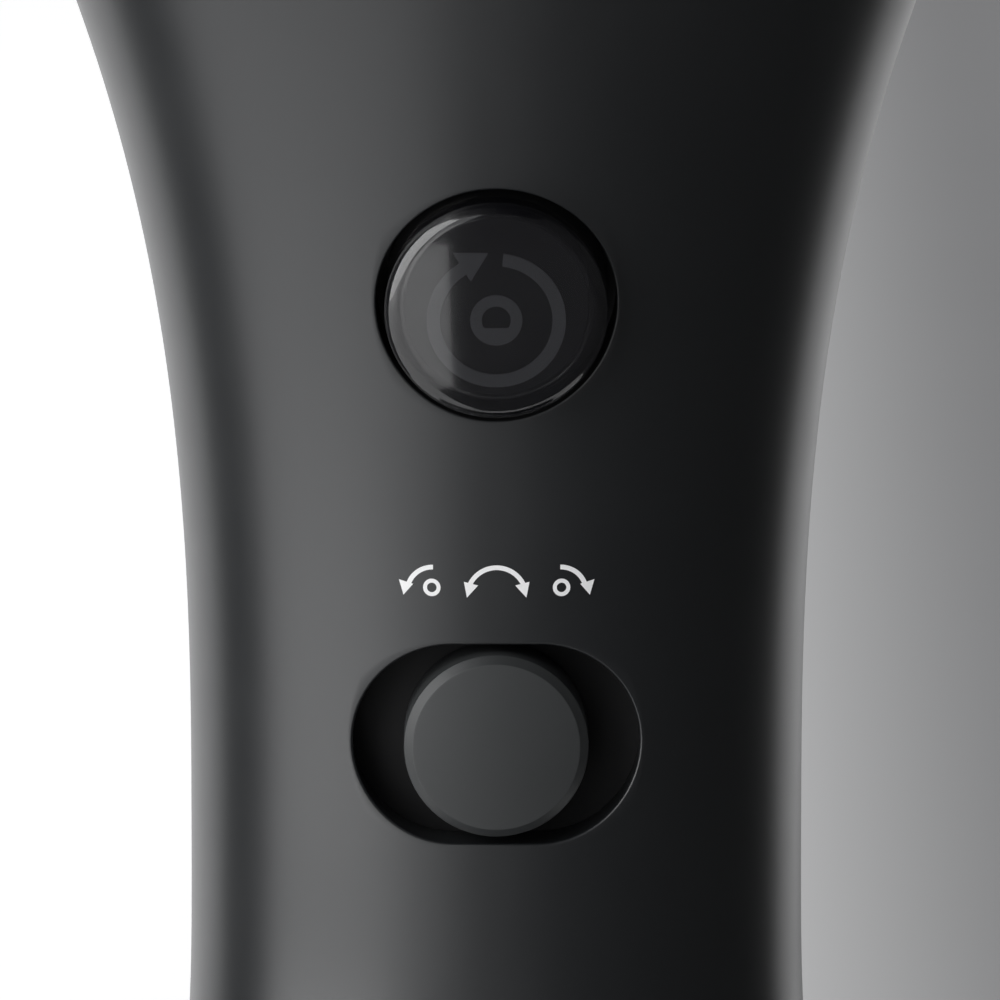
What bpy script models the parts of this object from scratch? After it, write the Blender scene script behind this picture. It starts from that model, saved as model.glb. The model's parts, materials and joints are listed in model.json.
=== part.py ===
# Cordless car dryer blower: a waisted upright grip under a ducted fan barrel, on a battery foot.
# The origin is on the standing plane under the grip's axis. The control face looks along -Y,
# the air leaves along +Y, and +Z is up.
import math

import bmesh
import bpy
from mathutils import Matrix, Vector

MM = 0.001

# ---- fits ----
GAP = 0.3 * MM                    # between pieces that touch
RUNNING_GAP = 0.5 * MM            # around what turns fast
MERGE_DISTANCE = 0.01 * MM
REACH_THROUGH = 3.0 * MM          # how far a cutter runs past what it cuts

# ---- smoothness of the round forms ----
ROUND_STEPS = 32
SMALL_ROUND_STEPS = 12
OVAL_POINTS = 32
SHARP_ANGLE = 32.0                # degrees between faces, past which an edge stays sharp

# ---- grip: half sizes at the waist, and how they flare to the barrel and the foot ----
WALL = 2.2 * MM
WAIST_Z = 78.0 * MM
WAIST_HALF_WIDTH = 20.0 * MM
WAIST_HALF_DEPTH = 19.6 * MM
FLARE_REACH = 53.0 * MM
FLARE_WIDTH_GAIN = 7.2 * MM
FLARE_DEPTH_GAIN = 4.6 * MM
FLARE_POWER = 2.6
NECK_HALF_DEPTH = 44.0 * MM
NECK_SLOPE = 0.2
GRIP_SQUARENESS = 2.35
SPLIT_Y = 2.0 * MM                # plane where the rear and front housings meet

# ---- foot ----
FOOT_HALF_WIDTH = 36.0 * MM
FOOT_HALF_DEPTH = 48.0 * MM
FOOT_SHOULDER_Z = 36.0 * MM
FOOT_FLARE_POWER = 4.0
FOOT_SQUARENESS = 5.0
SHOULDER_STEP = 1.0 * MM
HOLLOW_ROOF_SHARE = 0.36          # of the bore's radius, below the barrel's axis

# ---- barrel ----
BARREL_Z = 183.0 * MM
BARREL_RADIUS = 38.0 * MM
BARREL_REAR_Y = -72.0 * MM
BARREL_FRONT_Y = 70.0 * MM
BARREL_REAR_EDGE = 0.8 * MM
BARREL_FRONT_EDGE = 1.4 * MM
NECK_TUCK = 2.2 * MM              # how far the neck's sides end inside the barrel's skin

# ---- housing screws ----
SCREW_RADIUS = 1.25 * MM
SCREW_HEAD_RADIUS = 2.6 * MM
SCREW_HEAD_HEIGHT = 1.8 * MM
SCREW_SEAT_DEPTH = 5.0 * MM       # from the split to the head's seat
SCREW_REACH = 9.0 * MM            # past the split, into the rear boss
SCREW_BOSS_RADIUS = 4.2 * MM
UPPER_SCREW_X = 18.0 * MM
UPPER_SCREW_Z = 130.0 * MM
LOWER_SCREW_X = 13.0 * MM
LOWER_SCREW_Z = 54.0 * MM

# ---- intake ----
COVER_RIM_DEPTH = 5.0 * MM
COVER_PLATE_THICKNESS = 2.5 * MM
COVER_SKIRT_LENGTH = 8.0 * MM
COVER_SKIRT_WALL = 2.2 * MM
COVER_SLOT_WIDTH = 2.4 * MM
COVER_SLOT_COUNT = 20
COVER_INNER_SLOT_COUNT = 10
COVER_HUB_RADIUS = 8.0 * MM
COVER_RING_RADIUS = 17.0 * MM
COVER_RING_WIDTH = 2.0 * MM
COVER_EDGE_WIDTH = 2.4 * MM
LUG_COUNT = 3
LUG_HEIGHT = 0.9 * MM
LUG_LENGTH = 2.4 * MM
LUG_ANGLE = 14.0
LUG_ENTRY_EASE = 3.0              # degrees wider than a lug
LUG_ENTRY_TURN = 25.0             # degrees the cover turns to come free
FILTER_THICKNESS = 5.0 * MM

# ---- fan duct ----
SHROUD_REAR_Y = -60.0 * MM
SHROUD_FRONT_Y = 20.0 * MM
DUCT_RADIUS = 29.5 * MM
DUCT_WALL = 1.8 * MM
BELLMOUTH_LENGTH = 10.0 * MM
FLANGE_THICKNESS = 2.5 * MM
LIP_WIDTH = 1.5 * MM

# ---- impeller and motor, along the barrel's axis ----
SHAFT_RADIUS = 1.5 * MM
SHAFT_REAR_Y = -47.0 * MM
IMPELLER_REAR_Y = -42.0 * MM
IMPELLER_LENGTH = 22.0 * MM
HUB_RADIUS = 15.8 * MM
HUB_NOSE_RADIUS = 5.0 * MM
HUB_NOSE_LENGTH = 9.0 * MM
BLADE_COUNT = 9
BLADE_THICKNESS = 1.2 * MM
BLADE_ROOT_CHORD = 9.0 * MM
BLADE_TIP_CHORD = 15.0 * MM
BLADE_ROOT_STAGGER = 38.0
BLADE_TIP_STAGGER = 60.0
NUT_RADIUS = 3.2 * MM
NUT_LENGTH = 3.0 * MM
MOTOR_RADIUS = 14.0 * MM
MOTOR_LENGTH = 26.0 * MM
CAN_WALL = 1.5 * MM
CAN_END = 2.6 * MM
END_BELL_THICKNESS = 2.8 * MM
BEARING_RADIUS = 4.2 * MM
STATOR_LENGTH = 12.0 * MM
STATOR_BORE = 7.6 * MM
STATOR_YOKE = 1.6 * MM
STATOR_SLOT_COUNT = 6
STATOR_SLOT_WIDTH = 2.0 * MM
WINDING_LENGTH = 3.0 * MM
MOUNT_WALL = 1.9 * MM
MOUNT_RING_LENGTH = 16.0 * MM
MOUNT_RING_WALL = 1.3 * MM
VANE_COUNT = 7
VANE_THICKNESS = 1.4 * MM
TAIL_CONE_LENGTH = 18.0 * MM
TAIL_TIP_RADIUS = 4.0 * MM

# ---- outlet: cone, drive and turning nozzle ----
NOZZLE_BORE = 22.2 * MM
NOZZLE_TUBE_WALL = 1.8 * MM
CONE_LENGTH = 13.0 * MM
CONE_THROAT_LENGTH = 14.0 * MM
DRIVE_PLATE_THICKNESS = 2.0 * MM
GEAR_MODULE = 0.8 * MM
NOZZLE_GEAR_TEETH = 66
PINION_TEETH = 9
GEAR_WIDTH = 5.0 * MM
TOOTH_TIP = 0.64 * MM
TOOTH_ROOT = 0.95 * MM
TOOTH_SHARE_AT_ROOT = 0.56
TOOTH_SHARE_AT_TIP = 0.20
GEAR_MOTOR_RADIUS = 4.0 * MM
GEAR_MOTOR_LENGTH = 11.5 * MM
PINION_SHAFT_RADIUS = 0.75 * MM
PINION_SHAFT_DEPTH = 5.0 * MM
NOZZLE_FLANGE = 3.2 * MM
NOZZLE_FLANGE_THICKNESS = 1.4 * MM
NOZZLE_COLLAR_RADIUS = 30.5 * MM
NOZZLE_COLLAR_LENGTH = 8.0 * MM
NOZZLE_TAPER_LENGTH = 44.0 * MM
MOUTH_HALF_WIDTH = 33.0 * MM
MOUTH_HALF_HEIGHT = 8.0 * MM
MOUTH_WALL = 2.0 * MM
MOUTH_SQUARENESS = 6.0
NOZZLE_RINGS = 6

# ---- push button ----
BUTTON_RISE = 36.3 * MM           # above the waist
BUTTON_HOLE_RADIUS = 7.67 * MM
BUTTON_CAP_RADIUS = 7.15 * MM
BUTTON_PROUD = 2.4 * MM
BUTTON_EDGE = 0.9 * MM
BUTTON_CROWN = 0.35 * MM
BUTTON_LENS_SKIN = 1.3 * MM
BUTTON_LENS_WALL = 0.9 * MM
BUTTON_SKIRT = 4.0 * MM           # depth of the lens below the skin
BUTTON_GUIDE_WALL = 1.5 * MM
BUTTON_GUIDE_DEPTH = 5.0 * MM
BUTTON_FLANGE_THICKNESS = 1.4 * MM
BUTTON_STEM_RADIUS = 2.0 * MM
BUTTON_STEM_REACH = 2.9 * MM
BUTTON_TRAVEL = 1.2 * MM
SYMBOL_THICKNESS = 0.5 * MM
BUTTON_SPRING_RADIUS = 5.6 * MM
SPRING_WIRE = 0.25 * MM
BUTTON_SPRING_TURNS = 5

# ---- direction selector ----
SELECTOR_RISE = 7.4 * MM
SLOT_LENGTH = 18.4 * MM
SLOT_HEIGHT = 13.0 * MM
SLOT_DEPTH = 4.4 * MM
SLOT_WALL = 1.6 * MM
TRAY_THICKNESS = 1.2 * MM
KNOB_RADIUS = 5.95 * MM
KNOB_PROUD = 1.0 * MM
KNOB_CHAMFER = 0.55 * MM
SELECTOR_TRAVEL = 2.9 * MM
STEM_SIDE = 3.0 * MM
CARRIAGE_LENGTH = 10.0 * MM
CARRIAGE_HEIGHT = 8.0 * MM
CARRIAGE_THICKNESS = 1.2 * MM

# ---- boards in the grip ----
BOARD_THICKNESS = 1.6 * MM
CONTROL_BOARD_Y = -6.0 * MM
CONTROL_BOARD_WIDTH = 22.0 * MM
CONTROL_BOARD_LOW_Z = 69.0 * MM
CONTROL_BOARD_HIGH_Z = 123.0 * MM
CONTROLLER_Y = 5.0 * MM
CONTROLLER_WIDTH = 25.0 * MM
CONTROLLER_LOW_Z = 60.0 * MM
CONTROLLER_HIGH_Z = 104.0 * MM
SWITCH_SIDE = 6.0 * MM
SWITCH_HEIGHT = 3.4 * MM
SWITCH_PLUNGER_RADIUS = 1.7 * MM
SWITCH_MARGIN = 0.2 * MM          # between plunger and stem with the button pressed home
SLIDE_SWITCH_LENGTH = 12.0 * MM
SLIDE_SWITCH_HEIGHT = 5.4 * MM
SLIDE_SWITCH_DEPTH = 3.2 * MM
SLIDE_SWITCH_FLOOR = 1.2 * MM
BOARD_BOSS_RADIUS = 2.7 * MM
BOARD_SCREW_RADIUS = 1.0 * MM
BOARD_SCREW_HEAD_RADIUS = 2.0 * MM
BOARD_SCREW_HEAD_HEIGHT = 1.4 * MM
BOARD_SCREW_REACH = 6.0 * MM
CONTROL_BOSS_Z = (73.2 * MM, 99.6 * MM)
CONTROLLER_BOSS_Z = (65.0 * MM, 99.0 * MM)

# ---- battery ----
PAD_THICKNESS = 2.0 * MM
PAD_PROUD = 1.2 * MM
PAD_MARGIN = 7.0 * MM
PACK_FLOOR = 2.6 * MM
PACK_TOP_Z = 25.7 * MM
PACK_ROOF = 2.0 * MM
PACK_EDGE = 2.0 * MM
PACK_WALL = 2.2 * MM
PACK_PARTING_Z = 14.0 * MM
CELL_RADIUS = 9.1 * MM
CELL_LENGTH = 65.0 * MM
CELL_REAR_Y = -41.0 * MM
CELL_COUNT = 3
CELL_BOARD_HALF_WIDTH = 26.0 * MM
CELL_BOARD_HEIGHT = 15.0 * MM
RAIL_HALF_NECK = 16.7 * MM
RAIL_HALF_HEAD = 20.4 * MM
RAIL_NECK_HEIGHT = 2.9 * MM
RAIL_HEAD_HEIGHT = 4.4 * MM
RAIL_REAR_Y = -30.0 * MM
RAIL_END_INSET = 0.6 * MM
RAIL_POCKET_FLOOR = 0.8 * MM
BEZEL_DEPTH = 4.5 * MM
BEZEL_HALF_WIDTH = 28.9 * MM
BEZEL_HEIGHT = 5.0 * MM
BLADE_CONTACT_X = 8.0 * MM
BLADE_CONTACT_THICKNESS = 0.8 * MM
BLADE_CONTACT_HEIGHT = 1.8 * MM
BLADE_CONTACT_LENGTH = 5.5 * MM
TERMINAL_HALF_WIDTH = 14.0 * MM
TERMINAL_DEPTH = 4.5 * MM
TERMINAL_LENGTH = 9.0 * MM

# ---- battery release buttons ----
RELEASE_Y = 26.8 * MM
RELEASE_LENGTH = 11.0 * MM
RELEASE_HEIGHT = 8.0 * MM
RELEASE_Z = 11.0 * MM
RELEASE_PROUD = 0.9 * MM
RELEASE_FLANGE = 1.0 * MM
RELEASE_FLANGE_THICKNESS = 2.0 * MM
RELEASE_FLANGE_INSET = 4.1 * MM   # from the pack's side to the flange
RELEASE_TRAVEL = 1.6 * MM
HOOK_INNER_X = 25.5 * MM
HOOK_THICKNESS = 3.0 * MM
HOOK_WIDTH = 5.0 * MM
HOOK_TOP_Z = 30.0 * MM
HOOK_ARM_TOP_Z = 20.8 * MM
RELEASE_SPRING_RADIUS = 2.0 * MM
RELEASE_SPRING_TURNS = 3
RELEASE_SPRING_Z = 10.0 * MM
SPRING_STOP_X = 26.4 * MM
SPRING_STOP_THICKNESS = 1.4 * MM

# ---- cables inside the grip ----
CABLE_RADIUS = 1.3 * MM
CABLE_SLACK = 0.8 * MM

# ---- finishes: colour, roughness, metallic ----
FINISHES = {
    "satin_black": ((0.030, 0.032, 0.034), 0.42, 0.0),
    "dark_plastic": ((0.020, 0.020, 0.021), 0.60, 0.0),
    "knob_black": ((0.045, 0.047, 0.048), 0.45, 0.0),
    "smoked_lens": ((0.012, 0.012, 0.014), 0.06, 0.0),
    "symbol_grey": ((0.10, 0.10, 0.11), 0.50, 0.0),
    "grey_plastic": ((0.11, 0.11, 0.12), 0.50, 0.0),
    "natural_nylon": ((0.70, 0.68, 0.60), 0.50, 0.0),
    "aluminium": ((0.60, 0.61, 0.63), 0.35, 1.0),
    "steel": ((0.55, 0.55, 0.56), 0.30, 1.0),
    "copper": ((0.62, 0.28, 0.13), 0.35, 1.0),
    "brass": ((0.66, 0.50, 0.22), 0.35, 1.0),
    "board_green": ((0.02, 0.12, 0.06), 0.45, 0.0),
    "cell_wrap": ((0.05, 0.18, 0.34), 0.40, 0.0),
    "foam": ((0.05, 0.05, 0.055), 0.90, 0.0),
    "rubber": ((0.025, 0.025, 0.026), 0.80, 0.0),
    "red_cable": ((0.45, 0.03, 0.02), 0.50, 0.0),
}

# ---- sizes worked out from the driving dimensions ----
FOOT_DROP = WAIST_Z - FOOT_SHOULDER_Z
BARREL_RISE = BARREL_Z - WAIST_Z
NECK_HALF_WIDTH = BARREL_RADIUS - NECK_TUCK
FOOT_BOTTOM_Z = PACK_TOP_Z + GAP
BORE_RADIUS = BARREL_RADIUS - WALL
INSERT_RADIUS = BORE_RADIUS - GAP
COVER_Y = BARREL_REAR_Y - GAP
COVER_REAR_Y = COVER_Y - COVER_RIM_DEPTH
COVER_PLATE_FRONT_Y = COVER_REAR_Y + COVER_EDGE_WIDTH + COVER_PLATE_THICKNESS
GROOVE_FRONT_Y = COVER_Y + COVER_SKIRT_LENGTH + GAP
DUCT_OUTER_RADIUS = DUCT_RADIUS + DUCT_WALL
IMPELLER_FRONT_Y = IMPELLER_REAR_Y + IMPELLER_LENGTH
SHAFT_CLEAR_RADIUS = SHAFT_RADIUS + GAP
END_BELL_Y = IMPELLER_FRONT_Y + RUNNING_GAP + 2.0 * GAP
MOTOR_REAR_Y = END_BELL_Y + END_BELL_THICKNESS + GAP
MOTOR_FRONT_Y = MOTOR_REAR_Y + MOTOR_LENGTH
CAN_BORE = MOTOR_RADIUS - CAN_WALL
CAN_END_Y = MOTOR_FRONT_Y - CAN_END
STATOR_MIDDLE_Y = (MOTOR_REAR_Y + CAN_END_Y) / 2.0
MOUNT_BORE = MOTOR_RADIUS + GAP
MOUNT_RADIUS = MOUNT_BORE + MOUNT_WALL
TAIL_Y = MOTOR_FRONT_Y + GAP
MOUNT_FRONT_Y = TAIL_Y + 3.0 * MM
CONE_Y = SHROUD_FRONT_Y + GAP
THROAT_Y = CONE_Y + CONE_LENGTH
THROAT_END_Y = THROAT_Y + CONE_THROAT_LENGTH
NOZZLE_TUBE_RADIUS = NOZZLE_BORE + NOZZLE_TUBE_WALL
GEAR_BORE = NOZZLE_TUBE_RADIUS + GAP
DRIVE_PLATE_Y = THROAT_END_Y - DRIVE_PLATE_THICKNESS / 2.0
DRIVE_PLATE_FRONT_Y = DRIVE_PLATE_Y + DRIVE_PLATE_THICKNESS
NOZZLE_REAR_Y = DRIVE_PLATE_FRONT_Y + GAP
GEAR_Y = NOZZLE_REAR_Y + 2.0 * GAP
NOZZLE_FLANGE_Y = GEAR_Y + GEAR_WIDTH + GAP
FRONT_RING_Y = NOZZLE_FLANGE_Y + NOZZLE_FLANGE_THICKNESS + GAP
NOZZLE_GEAR_RADIUS = GEAR_MODULE * NOZZLE_GEAR_TEETH / 2.0
PINION_RADIUS = GEAR_MODULE * PINION_TEETH / 2.0
GEAR_CENTRES = NOZZLE_GEAR_RADIUS + PINION_RADIUS
GEAR_MOTOR_FRONT_Y = DRIVE_PLATE_Y - GAP
COLLAR_Y = BARREL_FRONT_Y + GAP
TAPER_Y = COLLAR_Y + NOZZLE_COLLAR_LENGTH
MOUTH_Y = TAPER_Y + NOZZLE_TAPER_LENGTH
BUTTON_Z = WAIST_Z + BUTTON_RISE
SELECTOR_Z = WAIST_Z + SELECTOR_RISE
BOARD_FRONT_Y = CONTROL_BOARD_Y
BOARD_BACK_Y = CONTROL_BOARD_Y + BOARD_THICKNESS
RECEIVER_TOP_Z = FOOT_SHOULDER_Z - SHOULDER_STEP - GAP
RECEIVER_BOTTOM_Z = PACK_TOP_Z + 2.0 * GAP
RAIL_HEAD_Z = PACK_TOP_Z + RAIL_NECK_HEIGHT
RAIL_TOP_Z = RAIL_HEAD_Z + RAIL_HEAD_HEIGHT
PAD_TOP_Z = PAD_THICKNESS
BLADE_CONTACT_Z = (RAIL_HEAD_Z + RAIL_POCKET_FLOOR + GAP + RAIL_TOP_Z) / 2.0
CELL_Z = PAD_TOP_Z + GAP + PACK_FLOOR + GAP + CELL_RADIUS
CELL_SPACING = 2.0 * (CELL_RADIUS + GAP)
CELL_FRONT_Y = CELL_REAR_Y + CELL_LENGTH


# ---- scene ----

def empty_scene():
    for obj in list(bpy.data.objects):
        bpy.data.objects.remove(obj)


def new_collection(name):
    collection = bpy.data.collections.new(name)
    bpy.context.scene.collection.children.link(collection)
    return collection


def finish_material(piece_name, finish):
    colour, roughness, metallic = FINISHES[finish]
    material = bpy.data.materials.new(f"{piece_name}_{finish}")
    material.use_nodes = True
    shader = material.node_tree.nodes["Principled BSDF"]
    shader.inputs["Base Color"].default_value = (*colour, 1.0)
    shader.inputs["Roughness"].default_value = roughness
    shader.inputs["Metallic"].default_value = metallic
    return material


def add_object(name, data, finish, location=(0.0, 0.0, 0.0), rotation=(0.0, 0.0, 0.0)):
    # A piece has a finish. Without one the object is a cutter or a guide.
    obj = bpy.data.objects.new(name, data)
    obj.location = location
    obj.rotation_euler = rotation
    if finish is None:
        CUTTERS.objects.link(obj)
        obj.hide_render = True
        obj.display_type = "WIRE"
    else:
        PARTS.objects.link(obj)
        data.materials.append(finish_material(name, finish))
    return obj


# ---- shapes ----

def along_y():
    # Turns local +Z to world +Y.
    return (-math.pi / 2.0, 0.0, 0.0)


def facing_user():
    # Stands a flat outline up in the XZ plane, its local +Z towards -Y.
    return (math.pi / 2.0, 0.0, 0.0)


def smooth_shading(angle):
    # A node group that shades a mesh smooth, with the edges past the angle left sharp.
    group = bpy.data.node_groups.new("smooth_shading", "GeometryNodeTree")
    for in_out in ("INPUT", "OUTPUT"):
        group.interface.new_socket("Geometry", in_out=in_out, socket_type="NodeSocketGeometry")
    source = group.nodes.new("NodeGroupInput")
    faces = group.nodes.new("GeometryNodeSetShadeSmooth")
    edge_angle = group.nodes.new("GeometryNodeInputMeshEdgeAngle")
    is_flat = group.nodes.new("FunctionNodeCompare")
    is_flat.operation = "LESS_THAN"
    is_flat.inputs["B"].default_value = math.radians(angle)
    edges = group.nodes.new("GeometryNodeSetShadeSmooth")
    edges.domain = "EDGE"
    result = group.nodes.new("NodeGroupOutput")
    group.links.new(source.outputs["Geometry"], faces.inputs["Geometry"])
    group.links.new(edge_angle.outputs["Unsigned Angle"], is_flat.inputs["A"])
    group.links.new(is_flat.outputs["Result"], edges.inputs["Shade Smooth"])
    group.links.new(faces.outputs["Geometry"], edges.inputs["Geometry"])
    group.links.new(edges.outputs["Geometry"], result.inputs["Geometry"])
    return group


def shade_parts():
    shading = smooth_shading(SHARP_ANGLE)
    for obj in PARTS.objects:
        if obj.type == "MESH":
            obj.modifiers.new("Shading", "NODES").node_group = shading


def mesh_from(bm, name):
    bmesh.ops.recalc_face_normals(bm, faces=bm.faces)
    mesh = bpy.data.meshes.new(name)
    bm.to_mesh(mesh)
    bm.free()
    return mesh


def turned(name, outline, finish=None, location=(0.0, 0.0, 0.0), rotation=(0.0, 0.0, 0.0),
           steps=ROUND_STEPS):
    # The outline is (radius, height), down the outer side and back up the inner side.
    closed = outline[0][0] > 0.0 or outline[-1][0] > 0.0
    points = [(radius, 0.0, height) for radius, height in outline]
    edges = [(index, index + 1) for index in range(len(points) - 1)]
    if closed:
        edges.append((len(points) - 1, 0))
    mesh = bpy.data.meshes.new(name)
    mesh.from_pydata(points, edges, [])
    obj = add_object(name, mesh, finish, location, rotation)
    screw = obj.modifiers.new("Turn", "SCREW")
    screw.axis = "Z"
    screw.steps = steps
    screw.render_steps = steps
    screw.use_merge_vertices = True
    screw.merge_threshold = MERGE_DISTANCE
    screw.use_smooth_shade = False
    return obj


def barrel_turned(name, outline, finish=None, height=BARREL_Z, steps=ROUND_STEPS):
    # The outline is (radius, Y), from the front down the outer side.
    return turned(name, outline, finish, (0.0, 0.0, height), along_y(), steps)


def ring_outline(outer, inner, rear, front):
    return [(outer, front), (outer, rear), (inner, rear), (inner, front)]


def disc_outline(radius, rear, front):
    return [(0.0, front), (radius, front), (radius, rear), (0.0, rear)]


def block(name, low, high, finish=None, edge=0.0, rotation=(0.0, 0.0, 0.0)):
    low, high = Vector(low), Vector(high)
    bm = bmesh.new()
    bmesh.ops.create_cube(bm, size=1.0)
    bmesh.ops.scale(bm, vec=high - low, verts=bm.verts)
    obj = add_object(name, mesh_from(bm, name), finish, (low + high) / 2.0, rotation)
    if edge > 0.0:
        bevel = obj.modifiers.new("Edges", "BEVEL")
        bevel.width = edge
        bevel.segments = 2
        bevel.limit_method = "ANGLE"
    return obj


def rod(name, radius, start, end, finish=None, sides=SMALL_ROUND_STEPS):
    start, end = Vector(start), Vector(end)
    length = (end - start).length
    bm = bmesh.new()
    bmesh.ops.create_cone(bm, cap_ends=True, segments=sides, radius1=radius, radius2=radius,
                          depth=length)
    bmesh.ops.translate(bm, vec=(0.0, 0.0, length / 2.0), verts=bm.verts)
    rotation = (end - start).to_track_quat("Z", "Y").to_euler()
    return add_object(name, mesh_from(bm, name), finish, start, rotation)


def plate(name, outlines, thickness, finish=None, location=(0.0, 0.0, 0.0),
          rotation=(0.0, 0.0, 0.0)):
    # A flat outline, with any inner outlines as holes, centred on its thickness.
    curve = bpy.data.curves.new(name, "CURVE")
    curve.dimensions = "2D"
    curve.fill_mode = "BOTH"
    curve.extrude = thickness / 2.0
    for outline in outlines:
        spline = curve.splines.new("POLY")
        spline.points.add(len(outline) - 1)
        for point, (x, y) in zip(spline.points, outline):
            point.co = (x, y, 0.0, 1.0)
        spline.use_cyclic_u = True
    guide = bpy.data.objects.new(f"{name}_outline", curve)
    bpy.context.scene.collection.objects.link(guide)
    depsgraph = bpy.context.evaluated_depsgraph_get()
    flat = bpy.data.meshes.new_from_object(guide.evaluated_get(depsgraph))
    bpy.data.objects.remove(guide)
    bm = bmesh.new()
    bm.from_mesh(flat)
    bpy.data.meshes.remove(flat)
    bmesh.ops.remove_doubles(bm, verts=bm.verts, dist=MERGE_DISTANCE)
    return add_object(name, mesh_from(bm, name), finish, location, rotation)


def loft(name, rings, finish=None, location=(0.0, 0.0, 0.0), rotation=(0.0, 0.0, 0.0)):
    bm = bmesh.new()
    rows = [[bm.verts.new(point) for point in ring] for ring in rings]
    for lower, upper in zip(rows, rows[1:]):
        for index in range(len(lower)):
            bm.faces.new((lower[index - 1], lower[index], upper[index], upper[index - 1]))
    bm.faces.new(rows[0][::-1])
    bm.faces.new(rows[-1])
    return add_object(name, mesh_from(bm, name), finish, location, rotation)


def oval(half_x, half_y, squareness, count=OVAL_POINTS):
    points = []
    for index in range(count):
        turn = 2.0 * math.pi * index / count
        across, along = math.cos(turn), math.sin(turn)
        x = half_x * math.copysign(abs(across) ** (2.0 / squareness), across)
        y = half_y * math.copysign(abs(along) ** (2.0 / squareness), along)
        points.append((x, y))
    return points


def obround(length, height, steps=10):
    radius = height / 2.0
    reach = length / 2.0 - radius
    points = []
    for centre, start in ((reach, -math.pi / 2.0), (-reach, math.pi / 2.0)):
        for index in range(steps + 1):
            turn = start + math.pi * index / steps
            points.append((centre + radius * math.cos(turn), radius * math.sin(turn)))
    return points


def tube(name, route, radius, finish, samples=18, roundness=2):
    # A cable on a smooth curve through the route's points.
    curve = bpy.data.curves.new(name, "CURVE")
    curve.dimensions = "3D"
    curve.bevel_depth = radius
    curve.bevel_resolution = roundness
    curve.use_fill_caps = True
    points = smooth_route([Vector(point) for point in route], samples)
    spline = curve.splines.new("POLY")
    spline.points.add(len(points) - 1)
    for point, place in zip(spline.points, points):
        point.co = (*place, 1.0)
    return add_object(name, curve, finish)


def smooth_route(knots, samples):
    # Catmull-Rom spline through the knots.
    padded = [2.0 * knots[0] - knots[1], *knots, 2.0 * knots[-1] - knots[-2]]
    points = []
    spans = len(knots) - 1
    for index in range(samples + 1):
        place = spans * index / samples
        span = min(int(place), spans - 1)
        t = place - span
        before, start, end, after = padded[span:span + 4]
        points.append(0.5 * (2.0 * start + (end - before) * t
                             + (2.0 * before - 5.0 * start + 4.0 * end - after) * t ** 2
                             + (3.0 * start - before - 3.0 * end + after) * t ** 3))
    return points


def spring(name, radius, length, turns, finish, location, rotation, points_per_turn=9):
    # A wire coil from local Z = 0 up to its length.
    curve = bpy.data.curves.new(name, "CURVE")
    curve.dimensions = "3D"
    curve.bevel_depth = SPRING_WIRE
    curve.bevel_resolution = 1
    curve.use_fill_caps = True
    count = turns * points_per_turn
    rise = length - 2.0 * SPRING_WIRE
    spline = curve.splines.new("POLY")
    spline.points.add(count)
    for index, point in enumerate(spline.points):
        turn = 2.0 * math.pi * index / points_per_turn
        height = SPRING_WIRE + rise * index / count
        point.co = (radius * math.cos(turn), radius * math.sin(turn), height, 1.0)
    return add_object(name, curve, finish, location, rotation)


def boolean(target, operation, *tools):
    for tool in tools:
        modifier = target.modifiers.new(tool.name, "BOOLEAN")
        modifier.operation = operation
        modifier.solver = "EXACT"
        modifier.object = tool
    return target


def cut(target, *tools):
    return boolean(target, "DIFFERENCE", *tools)


def weld(target, *tools):
    return boolean(target, "UNION", *tools)


# ---- grip form ----

def ease(start, start_slope, end, end_slope, span, t):
    # Cubic from start to end with given slopes, t running from 0 to 1 over the span.
    return ((2.0 * t ** 3 - 3.0 * t ** 2 + 1.0) * start
            + (t ** 3 - 2.0 * t ** 2 + t) * start_slope * span
            + (3.0 * t ** 2 - 2.0 * t ** 3) * end
            + (t ** 3 - t ** 2) * end_slope * span)


def grip_half(rise, waist, foot, gain, neck, neck_slope):
    if rise < 0.0:
        return waist + (foot - waist) * (-rise / FOOT_DROP) ** FOOT_FLARE_POWER
    if rise <= FLARE_REACH:
        return waist + gain * (rise / FLARE_REACH) ** FLARE_POWER
    span = BARREL_RISE - FLARE_REACH
    slope = gain * FLARE_POWER / FLARE_REACH
    return ease(waist + gain, slope, neck, neck_slope, span, (rise - FLARE_REACH) / span)


def half_width(rise):
    return grip_half(rise, WAIST_HALF_WIDTH, FOOT_HALF_WIDTH, FLARE_WIDTH_GAIN,
                     NECK_HALF_WIDTH, 0.0)


def half_depth(rise):
    return grip_half(rise, WAIST_HALF_DEPTH, FOOT_HALF_DEPTH, FLARE_DEPTH_GAIN,
                     NECK_HALF_DEPTH, NECK_SLOPE)


def slope_of(form, rise):
    step = 0.05 * MM
    return (form(rise + step) - form(rise - step)) / (2.0 * step)


def wall_inset(form, rise, wall):
    # A sloping wall needs a wider step sideways to keep its thickness.
    return wall * math.hypot(1.0, slope_of(form, rise))


def squareness(rise):
    towards_foot = max(0.0, -rise / FOOT_DROP) ** 3
    return GRIP_SQUARENESS + (FOOT_SQUARENESS - GRIP_SQUARENESS) * towards_foot


def grip_ring(z, wall=0.0):
    rise = z - WAIST_Z
    half_x = half_width(rise) - wall_inset(half_width, rise, wall)
    half_y = half_depth(rise) - wall_inset(half_depth, rise, wall)
    return [(x, y, z) for x, y in oval(half_x, half_y, squareness(rise))]


def foot_ring(z, inset=0.0):
    outline = oval(FOOT_HALF_WIDTH - inset, FOOT_HALF_DEPTH - inset, FOOT_SQUARENESS)
    return [(x, y, z) for x, y in outline]


def levels(start, end, count):
    return [start + (end - start) * index / count for index in range(count + 1)]


def grip_levels():
    flare_top = WAIST_Z + FLARE_REACH
    return (levels(FOOT_SHOULDER_Z, WAIST_Z, 6)
            + levels(WAIST_Z, flare_top, 5)[1:]
            + levels(flare_top, BARREL_Z, 5)[1:])


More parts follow.
